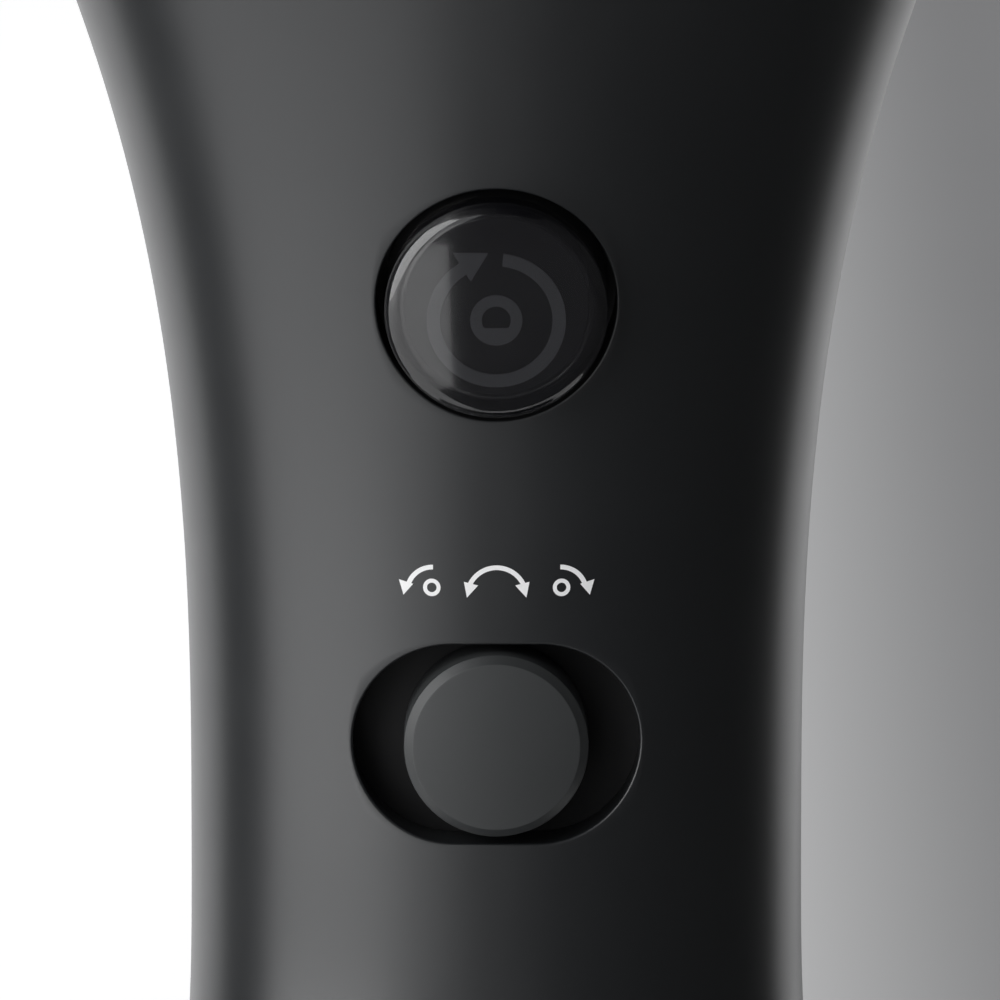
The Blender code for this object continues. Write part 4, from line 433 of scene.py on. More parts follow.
def openFoam(name):
    look = Look(name, Specular_IOR_Level=0.2)
    cells = look.add("ShaderNodeTexVoronoi", {"Vector": look.objectPlace(), "Scale": 1.0 / (0.7 * mm)},
                     {"feature": "F1"})
    look.feed("Base Color", look.blend(look.ramp(cells, 0.1, 0.6), (0.010, 0.010, 0.011),
                                       (0.060, 0.060, 0.064)))
    look.feed("Roughness", look.ramp(cells, 0.0, 0.6, 0.98, 0.85))
    look.feed("Normal", look.bump(cells, 0.8, 0.3))
    return look.material


# The kind of each finish, then its colour, its roughness and what else it sets. A mottled one
# has its grain and its tones instead.
finishSheet = {
    "satin_black": (mouldedPlastic, (0.0105, 0.0115, 0.0128), 0.33, {"specular": 0.64}),
    "dark_plastic": (mouldedPlastic, (0.011, 0.011, 0.0115), 0.55),
    "knob_black": (mouldedPlastic, (0.029, 0.031, 0.032), 0.42, {"grain": 0.07}),
    "smoked_lens": (mottled, (3.0,), ((0.006, 0.006, 0.008), (0.010, 0.010, 0.012)),
                    {"sheen": (0.05, 0.07), "alpha": (0.04, 0.50), "Specular_IOR_Level": 1.0,
                     "Coat_Weight": 1.0, "Coat_Roughness": 0.03}),
    "symbol_grey": (mouldedPlastic, (0.40, 0.41, 0.44), 0.5, {"grain": 0.08}),
    # painted shade: a darker, matt finish for recess walls and floors, standing in for the shade
    # inside them
    "recess_black": (mouldedPlastic, (0.0045, 0.0045, 0.005), 0.6, {"specular": 0.25}),
    "symbol_ground": (mouldedPlastic, (0.012, 0.012, 0.014), 0.5, {"grain": 0.08}),
    "white_print": (mottled, (0.12, 2.0, 0.7), ((0.84, 0.84, 0.85), (0.95, 0.95, 0.95)),
                    {"sheen": (0.15, 0.45), "Specular_IOR_Level": 0.4}),
    "grey_plastic": (mouldedPlastic, (0.11, 0.11, 0.12), 0.5),
    "natural_nylon": (mouldedPlastic, (0.70, 0.68, 0.60), 0.5, {"spread": 0.05}),
    "aluminium": (brushedMetal, (0.60, 0.61, 0.63), 0.35),
    "steel": (brushedMetal, (0.55, 0.55, 0.56), 0.30),
    "copper": (brushedMetal, (0.62, 0.28, 0.13), 0.35),
    "brass": (brushedMetal, (0.66, 0.50, 0.22), 0.35),
    "board_green": (mouldedPlastic, (0.02, 0.12, 0.06), 0.45),
    "cell_wrap": (mouldedPlastic, (0.05, 0.18, 0.34), 0.40, {"grain": 0.5}),
    "foam": (openFoam,),
    "rubber": (mouldedPlastic, (0.018, 0.018, 0.019), 0.72,
               {"grain": 0.2, "grainDepth": 0.02, "specular": 0.35}),
    "red_cable": (mouldedPlastic, (0.45, 0.03, 0.02), 0.5),
}
finishes = {}
for slotName, (makeLook, *numbers) in finishSheet.items():
    first, *rest = slotName.split("_")
    extras = numbers.pop() if len(numbers) > 2 else {}
    finishes[slotName] = makeLook(first + "".join(map(str.title, rest)), *numbers, **extras)
print("materials made:", len(finishes))


def ease(start, startSlope, end, endSlope, span, t):
    return ((2.0 * t ** 3 - 3.0 * t ** 2 + 1.0) * start
            + (t ** 3 - 2.0 * t ** 2 + t) * startSlope * span
            + (3.0 * t ** 2 - 2.0 * t ** 3) * end + (t ** 3 - t ** 2) * endSlope * span)


def gripHalf(z, axis):
    # half width (axis 0) or half depth (axis 1) of the grip at a height
    waist, foot, gain, neck, neckSlope = [grip[name][axis] for name in (
        "waist", "foot", "flareGain", "neck", "neckSlope")]
    rise, reach, power, soft = z - grip["waistZ"], grip["flareReach"], grip["flarePower"], grip["soft"]
    if rise < 0.0:
        flared = waist + (foot - waist) * (-rise / (grip["waistZ"] - grip["footShoulder"])) ** 4.0
        softness = max(soft - abs(flared - foot), 0.0) / soft
        return min(flared, foot) - softness ** 2 * soft / 4.0
    if rise <= reach:
        return waist + gain * (rise / reach) ** power
    span = barrel["z"] - grip["waistZ"] - reach
    return ease(waist + gain, gain * power / reach, neck, neckSlope, span, (rise - reach) / span)


def gripSquareness(z):
    drop = grip["waistZ"] - grip["footShoulder"]
    towardsFoot = min(max(0.0, (grip["waistZ"] - z) / drop), 1.0) ** 3
    return grip["squareness"] + (grip["footSquareness"] - grip["squareness"]) * towardsFoot


def splitY(side):
    # side is -1 for the rear shell and +1 for the front one
    return split["y"] + side * (split["halfGap"] + skim)


def gripPoint(z, share, side, inset=0.0):
    # share runs from 0 at the right side of the split to 1 at the left, round the shell
    halfX, halfY = gripHalf(z, 0) - inset, gripHalf(z, 1) - inset
    power = gripSquareness(z)
    edgeY = splitY(side)
    edgeX = halfX * (1.0 - (edgeY / halfY) ** power) ** (1.0 / power)
    start = side * atan2(edgeY, edgeX)
    angle = start + share * (pi - 2.0 * start)
    across, along = cos(angle), sin(angle)
    reach = ((abs(across) / halfX) ** power + (abs(along) / halfY) ** power) ** (-1.0 / power)
    return Vector((reach * across, side * reach * along, z))


def underside(x):
    return barrel["z"] - sqrt(max(barrel["radius"] ** 2 - x ** 2, 0.0))


def onBarrel(angle, y):
    # angle in radians about the barrel's axis, from straight down towards +X
    return Vector((barrel["radius"] * sin(angle), y,
                   barrel["z"] - barrel["radius"] * cos(angle)))


def junction(share, side):
    z = underside(0.0)
    for _ in range(60):
        z += 0.4 * (underside(gripPoint(z, share, side).x) - z)
    return gripPoint(z, share, side)


def beyondJunction(meeting, reach):
    # a point of the barrel's underside, further out than where the grip meets it
    flat = Vector((meeting.x, meeting.y, 0.0))
    flat += flat.normalized() * reach
    return Vector((flat.x, flat.y, underside(flat.x)))


def filletPoint(meeting, share, side, t):
    # t runs from 0 on the barrel to 1 on the grip
    probe = 0.3
    least, most = grip["filletReach"]
    reach = least + (most - least) * abs(sin(share * pi))
    start, before, beyond = [beyondJunction(meeting, reach + step) for step in (0.0, -probe, probe)]
    low = meeting.z - grip["filletDrop"]
    end, under, over = [gripPoint(low + step, share, side) for step in (0.0, -probe, probe)]
    inward, downward = (before - beyond).normalized(), (under - over).normalized()
    pull = (end - start).length
    return Vector([ease(start[axis], inward[axis] * pull, end[axis], downward[axis] * pull, 1.0, t)
                   for axis in range(3)])


def skinGap(point):
    # below zero inside the grip, above zero outside
    power = gripSquareness(point.z)
    return ((abs(point.x) / gripHalf(point.z, 0)) ** power
            + (abs(point.y) / gripHalf(point.z, 1)) ** power - 1.0)


def holeFrame(z, x, side, alongY=False):
    # the hole's axis: local Z out of the skin, local X to the right as seen from outside
    power = gripSquareness(z)
    depth = gripHalf(z, 1) * (1.0 - (abs(x) / gripHalf(z, 0)) ** power) ** (1.0 / power)
    slope = 0.0 if alongY else (gripHalf(z + 0.05, 1) - gripHalf(z - 0.05, 1)) / 0.1
    out = Vector((0.0, side * 1.0, -slope)).normalized()
    right = Vector((-side * 1.0, 0.0, 0.0))
    place = Matrix((right, out.cross(right), out)).transposed().to_4x4()
    place.translation = (x, side * depth, z)
    return place


def onSkin(place, p, q):
    # the skin's height above a spot of a hole's plane
    low, high = -12.0, 6.0
    for _ in range(36):
        middle = (low + high) / 2.0
        if skinGap(place @ Vector((p, q, middle))) < 0.0:
            low = middle
        else:
            high = middle
    return low


def circleReach(radius):
    return lambda angle: radius


def obroundReach(length, height):
    radius = height / 2.0
    straight = length / 2.0 - radius

    def reach(angle):
        across, along = abs(cos(angle)), abs(sin(angle))
        if along * straight > across * radius:
            return radius / along
        return straight * across + sqrt(radius ** 2 - (straight * along) ** 2)
    return reach


holeSteps = {"draw": (0.3, 0.6, 0.82, 1.0), "roll": 5, "wall": (0.33, 0.66, 1.0)}


def openHole(shell, place, reach, lip, depth, margin):
    # cuts a window in the shell's grid, draws it in to the hole's outline, rounds the lip
    # and runs the wall down to a floor
    into = place.inverted()
    size = (reach(0.0) + margin, reach(pi / 2.0) + margin, 12.0)
    cells = []
    with meshOf(shell) as bm:
        rows, spots = [bm.verts.layers.int[name] for name in ("row", "spot")]
        for corner in bm.verts:
            local = into @ corner.co
            if corner[rows] and all(abs(local[axis]) < size[axis] for axis in range(3)):
                cells.append((corner[rows], corner[spots]))
    lowest, highest = [[extreme(cell[axis] for cell in cells) for axis in (0, 1)]
                       for extreme in (min, max)]

    def inWindow(corner, layers):
        return (all(low <= corner[layer] <= high
                    for layer, low, high in zip(layers, lowest, highest))
                and (into @ corner.co).length < 3.0 * max(size[:2]))

    pick(shell, "faces", lambda face: all(inWindow(corner, (rows, spots)) for corner in face.verts))
    bpy.ops.mesh.delete(type="FACE")
    with meshOf(shell) as bm:
        rows, spots = [bm.verts.layers.int[name] for name in ("row", "spot")]
        border = [corner for corner in bm.verts
                  if corner.is_boundary and inWindow(corner, (rows, spots))]
        flats = {corner: into @ corner.co for corner in border}
        border.sort(key=lambda corner: atan2(flats[corner].y, flats[corner].x))
        starts = [flats[corner].to_2d() for corner in border]
        for spot, corner in enumerate(border):
            corner[spots] = spot
    # the spots are numbered anew by now, so the rows alone tell the window's edges
    pick(shell, "edges", lambda edge: edge.is_boundary
         and all(inWindow(corner, (rows,)) for corner in edge.verts))
    first = atan2(starts[0].y, starts[0].x)
    evens = [first + 2.0 * pi * spot / len(starts) for spot in range(len(starts))]

    def drawn(start, even, share):
        # between the window's border and an even spread round the hole's rolled lip
        own = atan2(start.y, start.x)
        angle = own + (even - own) * share
        flat = start.lerp(Vector(polar(reach(angle) + lip, angle)), share)
        return place @ Vector((flat.x, flat.y, onSkin(place, flat.x, flat.y)))

    for share in holeSteps["draw"]:
        nextRing(shell, [drawn(start, even, share) for start, even in zip(starts, evens)])
    tops = [onSkin(place, *polar(reach(angle) + lip, angle)) for angle in evens]
    for down, out in quarterRound(holeSteps["roll"])[1:]:
        nextRing(shell, [around(place, reach(angle) + lip * out, angle, top - lip * down)
                         for angle, top in zip(evens, tops)])
    for share in holeSteps["wall"]:
        nextRing(shell, [around(place, reach(angle), angle,
                                (top - lip) * (1.0 - share) - depth * share)
                         for angle, top in zip(evens, tops)])
    bpy.ops.mesh.edge_face_add()


def makeShell(name, side):
    # one half of the housing, solid: the barrel's half, then down through a fillet to the foot
    half = 0 if side < 0 else 1
    endY = barrel["ends"][half] - side * skim
    startY = splitY(side)
    low = grip["footBottom"] + skim
    columns, rowCount = barrel["columns"], round(abs(endY - startY) / barrel["rowStep"])
    rings = [[onBarrel(2.0 * pi * column / columns, startY + (endY - startY) * row / rowCount)
              for column in range(columns)] for row in range(rowCount + 1)]

    def atEnd(co):
        return abs(co.y - endY) < onPlane

    def atSplit(co):
        return abs(co.y - startY) < onPlane

    def atFoot(co):
        return abs(co.z - low) < onPlane

    def inWindow(face):
        middle = face.calc_center_median()
        angle = abs(atan2(middle.x, barrel["z"] - middle.z))
        return (angle < radians(barrel["windowHalf"])
                and abs(middle.y - startY) < barrel["windowReach"][half])

    def windowEdge(edge):
        return edge.is_boundary and not lies(edge, atSplit) and not any(
            atEnd(corner.co) for corner in edge.verts)

    shell = startRing(name, rings[0])
    with editing(shell):
        selectMesh()
        for ring in rings[1:]:
            nextRing(shell, ring)
        pick(shell, "faces", inWindow)
        bpy.ops.mesh.delete(type="FACE")
        with meshOf(shell) as bm:
            bm.verts.layers.int.new("row")
            spots = bm.verts.layers.int["spot"]
            chain = {corner for edge in bm.edges if windowEdge(edge) for corner in edge.verts}
            chain = sorted(chain, key=lambda corner: atan2(
                max(side * (corner.co.y - startY), 0.0), corner.co.x))
            starts = [corner.co.copy() for corner in chain]
            for spot, corner in enumerate(chain):
                corner[spots] = spot
        pick(shell, "edges", windowEdge)
        last = len(starts) - 1
        meetings = [junction(spot / last, side) for spot in range(last + 1)]

        def flush(points):
            for point in (points[0], points[last]):
                point.y = startY
            return points

        def towardsFillet(spot, share):
            goal = filletPoint(meetings[spot], spot / last, side, 0.0)
            start, end = [Vector((asin(point.x / barrel["radius"]), point.y))
                          for point in (starts[spot], goal)]
            return onBarrel(*start.lerp(end, share))

        for share in (0.35, 0.7, 1.0):
            nextRing(shell, flush([towardsFillet(spot, share) for spot in range(last + 1)]))
        for step in range(1, grip["filletRows"] + 1):
            nextRing(shell, flush([filletPoint(meeting, spot / last, side, step / grip["filletRows"])
                                   for spot, meeting in enumerate(meetings)]))
        high = meetings[last // 2].z - grip["filletDrop"]
        downRows = round((high - low) / grip["rowStep"])
        for row in range(1, downRows + 1):
            level = high + (low - high) * row / downRows
            flatten = max(0.0, 1.0 - row / grip["levelRows"]) ** 2
            nextRing(shell, flush([
                gripPoint(level + (meeting.z - grip["filletDrop"] - high) * flatten, spot / last, side)
                for spot, meeting in enumerate(meetings)]), row)
        fillBorder(shell, atEnd)
        bpy.ops.mesh.select_mode(type="VERT")
        pick(shell, "verts", lambda corner: atFoot(corner.co) and atSplit(corner.co))
        bpy.ops.mesh.edge_face_add()
        bpy.ops.mesh.select_mode(type="EDGE")
        fillBorder(shell, atFoot)
        fillBorder(shell, atSplit)
        turnOutward()
        for hole in holes[half]:
            openHole(shell, **hole)
        pick(shell, "edges", lambda edge: edge.calc_face_angle(0.0) > foldAngle and lies(edge, atEnd))
        bevelPicked(barrel["endEdges"][half], 4)
        pick(shell, "edges", lambda edge: edge.calc_face_angle(0.0) > foldAngle
             and (lies(edge, atSplit) or lies(edge, atFoot)))
        bevelPicked(split["edge"], 2)
        turnOutward()
    return shell


button = {"z": 114.3, "holeRadius": 7.70, "lip": 0.14, "pocket": 6.0,
          "capRadius": 7.15, "proud": 2.4, "edge": 0.9, "crown": 0.35, "skin": 1.3, "wall": 0.9,
          "skirt": 4.0, "skirtEdge": 0.2, "roofRound": 0.4,
          "symbolRadius": 5.95, "symbolBack": -0.05, "symbolFace": 0.30, "symbolEdge": 0.1}
selector = {"z": 85.4, "slot": (18.46, 13.06), "lip": 0.18, "pocket": 4.9}
screws = {"places": ((-18.0, 130.0), (18.0, 130.0), (-13.0, 54.0), (13.0, 54.0)),
          "holeRadius": 2.93, "lip": 0.30, "seatY": 7.0, "floorDrop": 0.1}
buttonPlace = holeFrame(button["z"], 0.0, -1)
selectorPlace = holeFrame(selector["z"], 0.0, -1, alongY=True)
screwPlaces = [holeFrame(z, x, 1, alongY=True) for x, z in screws["places"]]
holes = [[{"place": buttonPlace, "reach": circleReach(button["holeRadius"]), "lip": button["lip"],
           "depth": button["pocket"], "margin": 1.5},
          {"place": selectorPlace, "reach": obroundReach(*selector["slot"]), "lip": selector["lip"],
           "depth": selector["pocket"], "margin": 1.4}],
         [{"place": place, "reach": circleReach(screws["holeRadius"]), "lip": screws["lip"],
           "depth": place.translation.y - screws["seatY"] - screws["floorDrop"], "margin": 1.0}
          for place in screwPlaces]]
coreLevels = (20.0, 26.0, 31.0, 34.0, 36.0, 38.0, 41.0, 45.0, 51.0, 58.0, 66.0, 78.0, 92.0, 106.0,
              118.0, 130.0, 142.0, 154.0, 168.0, 182.0)


def hollowOut(shell, node, side):
    # takes out what is hollow in the frame's own housing, from the middle of its wall inwards
    inset, half, drumEnd, overlap = grip["wall"] / 2.0, 32, 84.0, 6.0
    shares = [(step + 0.5) / half for step in range(2 * half)]
    rings = [[gripPoint(z, *((share, -1) if share < 1.0 else (2.0 - share, 1)), inset)
              for share in shares] for z in coreLevels]
    core = loft(node + "_core", rings)
    radius = barrel["radius"] - inset
    drum = turned("drum", [(0.0, drumEnd), (radius, drumEnd), (radius, -drumEnd), (0.0, -drumEnd)],
                  alongBarrel, 72)
    combine(core, drum, "UNION")
    with editing(core):
        selectMesh()
        bpy.ops.mesh.bisect(plane_co=(0.0, split["y"] - side * overlap, 0.0),
                            plane_no=(0.0, side, 0.0), use_fill=True, clear_inner=True)
    combine(core, frameCopy(node))
    combine(shell, core)
    finishPiece(shell, "satin_black", "blower", [node])


def paintPocketShade(shell, hole):
    # painted shade: the pocket's wall and floor are matt and darker than the skin, standing in for the
    # shade inside the recess
    into = hole["place"].inverted()
    shell.data.materials.append(finishes["recess_black"])
    for face in shell.data.polygons:
        local = into @ (face.center / mm)
        edge = hole["reach"](atan2(local.y, local.x)) + 0.03
        if local.to_2d().length < edge and -hole["depth"] - 0.5 < local.z < 3.0:
            # painted shade on the faces inside the pocket
            face.material_index = 1


rearShell = makeShell("rearHousing", -1)
print("rear shell", len(rearShell.data.polygons))
hollowOut(rearShell, "rear_housing", -1)
paintPocketShade(rearShell, holes[0][0])
frontShell = makeShell("frontHousing", 1)
combine(frontShell, box("bezelNotch", (-29.2, 39.1, 20.0), (29.2, 60.0, 31.0)))
combine(frontShell, box("railNotch", (-20.7, 39.1, 25.0), (20.7, 60.0, 33.3)))
hollowOut(frontShell, "front_housing", 1)
print("housings made")


def makeButtonCap():
    radius, edge, proud = button["capRadius"], button["edge"], button["proud"]
    face = proud - button["crown"]
    roof, bore = face - button["skin"], radius - button["wall"]
    small, skirt, nick = button["roofRound"], button["skirt"], button["skirtEdge"]
    outline = [(0.0, proud)] + [((radius - edge) * step / 8, proud - button["crown"] * (step / 8) ** 2)
                                for step in range(1, 9)]
    outline += arc((radius - edge, face - edge), edge, 84.0, 0.0, 8)
    outline += [(radius, -skirt + nick), (radius - nick, -skirt), (bore, -skirt)]
    outline += arc((bore - small, roof - small), small, 0.0, 90.0, 4) + [(0.0, roof)]
    cap = turned("buttonCap", outline, buttonPlace, 160)
    finishPiece(cap, "smoked_lens", "button", ["button_cap"], 50.0)


def flatPiece(name, outlines, low, high, place):
    # a flat outline, with any inner outlines as holes, between two heights of its place
    deselectAll()
    curve = bpy.data.curves.new(name, "CURVE")
    curve.dimensions = "2D"
    curve.fill_mode = "BOTH"
    curve.extrude = (high - low) / 2.0
    for outline in outlines:
        spline = curve.splines.new("POLY")
        spline.points.add(len(outline) - 1)
        for point, (x, y) in zip(spline.points, outline):
            point.co = (x, y, 0.0, 1.0)
        spline.use_cyclic_u = True
    obj = linked(name, curve)
    takeUp(obj)
    bpy.ops.object.convert(target="MESH")
    obj.matrix_world = place @ Matrix.Translation((0.0, 0.0, (low + high) / 2.0))
    applyPlace()
    mergeAndTurn(obj)
    return obj


symbol = {"band": (4.45, 3.60), "bandTurn": (84.0, -238.0),
          "arrow": ((-2.76, 4.47), (-0.51, 4.47), (-1.63, 2.58)),
          "ring": (1.67, 0.93), "ringFlat": -0.52, "glyph": (0.26, 0.40), "centreUp": -0.92}


def makeButtonSymbol():
    radius, face, edge = button["symbolRadius"], button["symbolFace"], button["symbolEdge"]
    disc = turned("symbolDisc", [(0.0, face), (radius - edge, face), (radius, face - edge),
                                 (radius, button["symbolBack"]), (0.0, button["symbolBack"])],
                  buttonPlace, 96)
    finishPiece(disc, "symbol_grey", "button", ["button_symbol"], finish="symbol_ground")
    centre = (0.0, symbol["centreUp"])
    hole = [(x, max(y, centre[1] + symbol["ringFlat"])) for x, y in arc(centre, symbol["ring"][1])]
    shapes = [[band(centre, *symbol["band"], *symbol["bandTurn"], 72)],
              [[(x, y + centre[1]) for x, y in symbol["arrow"]]],
              [arc(centre, symbol["ring"][0]), hole]]
    glyph, *others = [flatPiece(f"glyph{index}", shape, *symbol["glyph"], buttonPlace)
                      for index, shape in enumerate(shapes)]
    for other in others:
        combine(glyph, other, "UNION")
    glyph.name = "symbolGlyph"
    finishPiece(glyph, "symbol_grey", "button", ["button_symbol"])


knob = {"radius": 5.95, "proud": 1.0, "chamfer": 0.55, "back": -4.4, "stemHalf": 1.5,
        "stemEndY": -7.8}


def makeSelectorKnob():
    radius, proud, chamfer = knob["radius"], knob["proud"], knob["chamfer"]
    outline = [(0.0, proud), (radius - chamfer - 0.10, proud), (radius - chamfer, proud - 0.03),
               (radius - 0.04, proud - chamfer + 0.04), (radius, proud - chamfer - 0.06),
               (radius, knob["back"]), (0.0, knob["back"])]
    piece = turned("selectorKnob", outline, selectorPlace, 144)
    half, middle = knob["stemHalf"], selector["z"]
    combine(piece, box("stem", (-half, selectorPlace.translation.y + 2.0, middle - half),
                       (half, knob["stemEndY"], middle + half), 0.15), "UNION")
    finishPiece(piece, "knob_black", "selector", ["selector_knob"], 24.0)


# The marks are drawn in pixels of the view, across from their middle and down the picture.
# Their turns run from the right downwards, so the upper half is negative.
marks = {"z": 96.07, "middle": 0.4, "line": 580.0, "pixel": (1.0 / 15.3, 1.0 / 14.95),
         "stroke": 4.6, "depth": (-0.06, 0.02), "swing": ((0.0, 595.1), 29.1, -24.0, -156.0),
         "swingHead": ((32.2, 580.0), (18.2, 583.5), (29.2, 595.5)),
         "turn": (62.5, 591.5), "turnRadius": 25.5, "turnEnds": ((-90.0, -161.0), (-90.0, -19.0)),
         "turnHead": ((96.0, 579.0), (82.0, 583.0), (91.5, 594.0)),
         "ring": (63.7, 586.0), "ringRadii": (8.6, 4.7)}


def makeMarks():
    place = holeFrame(marks["z"], 0.0, -1)
    into = place.inverted()

    def flat(points):
        return [((marks["middle"] + x) * marks["pixel"][0], (marks["line"] - y) * marks["pixel"][1])
                for x, y in points]

    def stroke(centre, radius, start, end):
        half = marks["stroke"] / 2.0
        return flat(band(centre, radius + half, radius - half, start, end, 28))

    def onSide(side, *points):
        return [(side * x, y) for x, y in points]

    shapes = [[stroke(*marks["swing"])]]
    shapes += [[flat(onSide(side, *marks["swingHead"]))] for side in (-1.0, 1.0)]
    for side, ends in zip((-1.0, 1.0), marks["turnEnds"]):
        turn, ring = onSide(side, marks["turn"], marks["ring"])
        shapes += [[stroke(turn, marks["turnRadius"], *ends)],
                   [flat(onSide(side, *marks["turnHead"]))],
                   [flat(arc(ring, radius, steps=36)) for radius in marks["ringRadii"]]]
    for index, shape in enumerate(shapes):
        part = flatPiece(f"printedMark{index + 1}", shape, *marks["depth"], place)
        with editing(part, "VERT"), meshOf(part) as bm:
            for corner in bm.verts:
                local = into @ corner.co
                corner.co = place @ Vector((local.x, local.y,
                                            onSkin(place, local.x, local.y) + local.z))
        finishPiece(part, "white_print", "blower", [])


makeButtonCap()
makeButtonSymbol()
makeSelectorKnob()
makeMarks()
print("controls made")


cover = {"rear": -77.3, "face": -74.9, "plateFront": -72.4, "seat": -72.3, "skirtEnd": -64.3,
         "rim": 37.7, "edge": 2.4, "insert": 35.5, "nick": 0.3, "skirtBore": 33.3, "meshRadius": 30.9,
         "slotWidth": 2.4, "slots": ((20, 18.0, 29.7), (10, 8.0, 16.0)),
         "lugs": (90.0, 210.0, 330.0), "lugSpread": 14.0, "lugRise": 0.9, "lugLength": 2.4}


def makeIntakeCover():
    rim, edge, dish, nick = cover["rim"], cover["edge"], cover["face"], cover["nick"]
    rear, seat, plate, end = cover["rear"], cover["seat"], cover["plateFront"], cover["skirtEnd"]
    bore, insert, mesh = cover["skirtBore"], cover["insert"], cover["meshRadius"]
    lip = mesh + edge
    outline = [(0.0, plate), (bore, plate), (bore, end), (insert - nick, end), (insert, end - nick),
               (insert, seat), (rim - nick, seat), (rim, seat - nick)]
    outline += arc((rim - edge, rear + edge), edge, 0.0, -84.0, 8)
    outline += [(rim - edge, rear), (lip + 0.5, rear), (lip, rear + 0.15),
                (mesh + 0.25, dish - 0.25), (mesh - 0.4, dish), (0.0, dish)]
    piece = turned("intakeCover", outline, alongBarrel, 144)
    slots = []
    width, through = cover["slotWidth"] / 2.0, 3.0
    for count, inner, outer in cover["slots"]:
        slot = box("slot", (inner, dish - through, -width), (outer, plate + through, width))
        with editing(slot):
            pick(slot, "edges", lambda edge: abs(edge.verts[0].co.y - edge.verts[1].co.y) > 1.0)
            bevelPicked(width * 0.96, 5)
        for index in range(count):
            slots.append(linked("slotCopy", slot.data.copy()))
            slots[-1].matrix_world = Matrix.Translation((0.0, 0.0, barrel["z"])) @ Matrix.Rotation(
                2.0 * pi * (index + 0.5) / count, 4, "Y")
        bpy.data.objects.remove(slot)
    deselectAll()
    for slot in slots:
        slot.select_set(True)
    bpy.context.view_layer.objects.active = slots[0]
    bpy.ops.object.join()
    takeUp(slots[0])
    applyPlace()
    combine(piece, slots[0])
    spread, rise = cover["lugSpread"] / 2.0, cover["lugRise"]
    for middle in cover["lugs"]:
        flat = band((0.0, barrel["z"]), insert + rise, insert - rise, middle - spread,
                    middle + spread, 8)
        combine(piece, loft("lug", [[Vector((x, y, z)) for x, z in flat]
                                    for y in (end - cover["lugLength"], end - 0.02)]), "UNION")
    finishPiece(piece, "dark_plastic", "intake", ["intake_cover"])


frontRing = {"bore": 24.3, "outer": 35.5, "rear": 56.2, "front": 70.0, "edge": 0.6}


def makeFrontRing():
    bore, outer, edge = frontRing["bore"], frontRing["outer"], frontRing["edge"]
    rear, front = frontRing["rear"], frontRing["front"]
    outline = [(outer, rear)] + arc((outer - edge, front - edge), edge, 0.0, 90.0, 5)
    outline += arc((bore + edge, front - edge), edge, 90.0, 180.0, 5) + [(bore, rear)]
    piece = turned("frontRing", outline, alongBarrel, 144)
    finishPiece(piece, "dark_plastic", "blower", ["front_ring"])


nozzle = {"rear": 48.6, "tube": 24.0, "bore": 22.2, "flange": 27.2, "flangeY": (54.5, 55.9),
          "collar": 30.5, "collarEdge": 0.5, "collarY": 70.3, "groove": 0.35, "taperY": 78.3,
          "mouthY": 122.3, "mouth": (33.0, 8.0), "mouthSquareness": 6.0, "lipEdge": 0.6,
          "innerEdge": 0.4, "wall": 2.0, "columns": 160, "taperRows": 26}


def ovalRing(y, halfX, halfZ, power, centreZ, count):
    ring = []
    for column in range(count):
        turn = 2.0 * pi * (column + 0.5) / count
        across, along = [copysign(abs(part) ** (2.0 / power), part)
                         for part in (cos(turn), sin(turn))]
        ring.append(Vector((halfX * across, y, centreZ + halfZ * along)))
    return ring


def makeNozzle():
    tube, bore, flange, wall = nozzle["tube"], nozzle["bore"], nozzle["flange"], nozzle["wall"]
    collar, edge, groove = nozzle["collar"], nozzle["collarEdge"], nozzle["groove"]
    rear, collarY, taperY = nozzle["rear"], nozzle["collarY"], nozzle["taperY"]
    flangeLow, flangeHigh = nozzle["flangeY"]
    rows, lip, inner = nozzle["taperRows"], nozzle["lipEdge"], nozzle["innerEdge"]

    def tapered(t, inset, back=0.0):
        blend = t * t * (3.0 - 2.0 * t)
        halfX, halfZ = [collar + (half - collar) * blend - inset for half in nozzle["mouth"]]
        return ovalRing(taperY + (nozzle["mouthY"] - taperY) * t - back, halfX, halfZ,
                        2.0 + (nozzle["mouthSquareness"] - 2.0) * blend, barrel["z"],
                        nozzle["columns"])

    def circles(profile):
        return [ovalRing(y, radius, radius, 2.0, barrel["z"], nozzle["columns"])
                for y, radius in profile]

    rings = circles([(rear, tube), (flangeLow, tube), (flangeLow, flange), (flangeHigh, flange),
                     (flangeHigh, tube), (collarY, tube), (collarY, collar - edge),
                     (collarY + 0.15, collar - 0.15), (collarY + edge, collar),
                     (taperY - 1.9, collar), (taperY - 1.6, collar - groove),
                     (taperY - 1.1, collar - groove), (taperY - 0.8, collar)])
    rings += [tapered(row / rows, 0.0) for row in range(rows)]
    rings += [tapered(1.0, lip * into, lip * back) for into, back in quarterRound(4)]
    rings += [tapered(1.0, wall - inner), tapered(1.0, wall, inner)]
    rings += [tapered(row / rows, wall) for row in range(rows - 1, -1, -1)]
    rings += circles([(collarY + 2.0, bore), (rear, bore)])
    finishPiece(loft("airNozzle", rings, closed=True), "dark_plastic", "nozzle", ["nozzle"])


makeIntakeCover()
makeFrontRing()
makeNozzle()
print("barrel ends made")


pack = {"bottom": 1.2, "edge": 2.0, "parting": 14.0, "gap": 0.15, "top": 25.7, "wall": 2.2,
        "bezelHalf": 28.9, "bezelY": 43.5, "bezelTop": 30.7, "partingEdge": 0.3,
        "columns": 176, "padHalf": (29.0, 41.0), "padTop": 2.0, "padEdges": (0.5, 0.1),
        "releaseWindow": ((28.0, 40.0), (21.0, 32.6), (6.7, 15.3)),
        "hookSlot": ((23.3, 28.8), (24.0, 29.6), (22.7, 26.2)),
        "neck": (16.7, 25.0, 29.7), "head": (20.4, 28.6, 33.0), "railY": (-30.0, 47.4),
        "pocket": {"half": 14.0, "z": 29.4, "end": -20.7}}


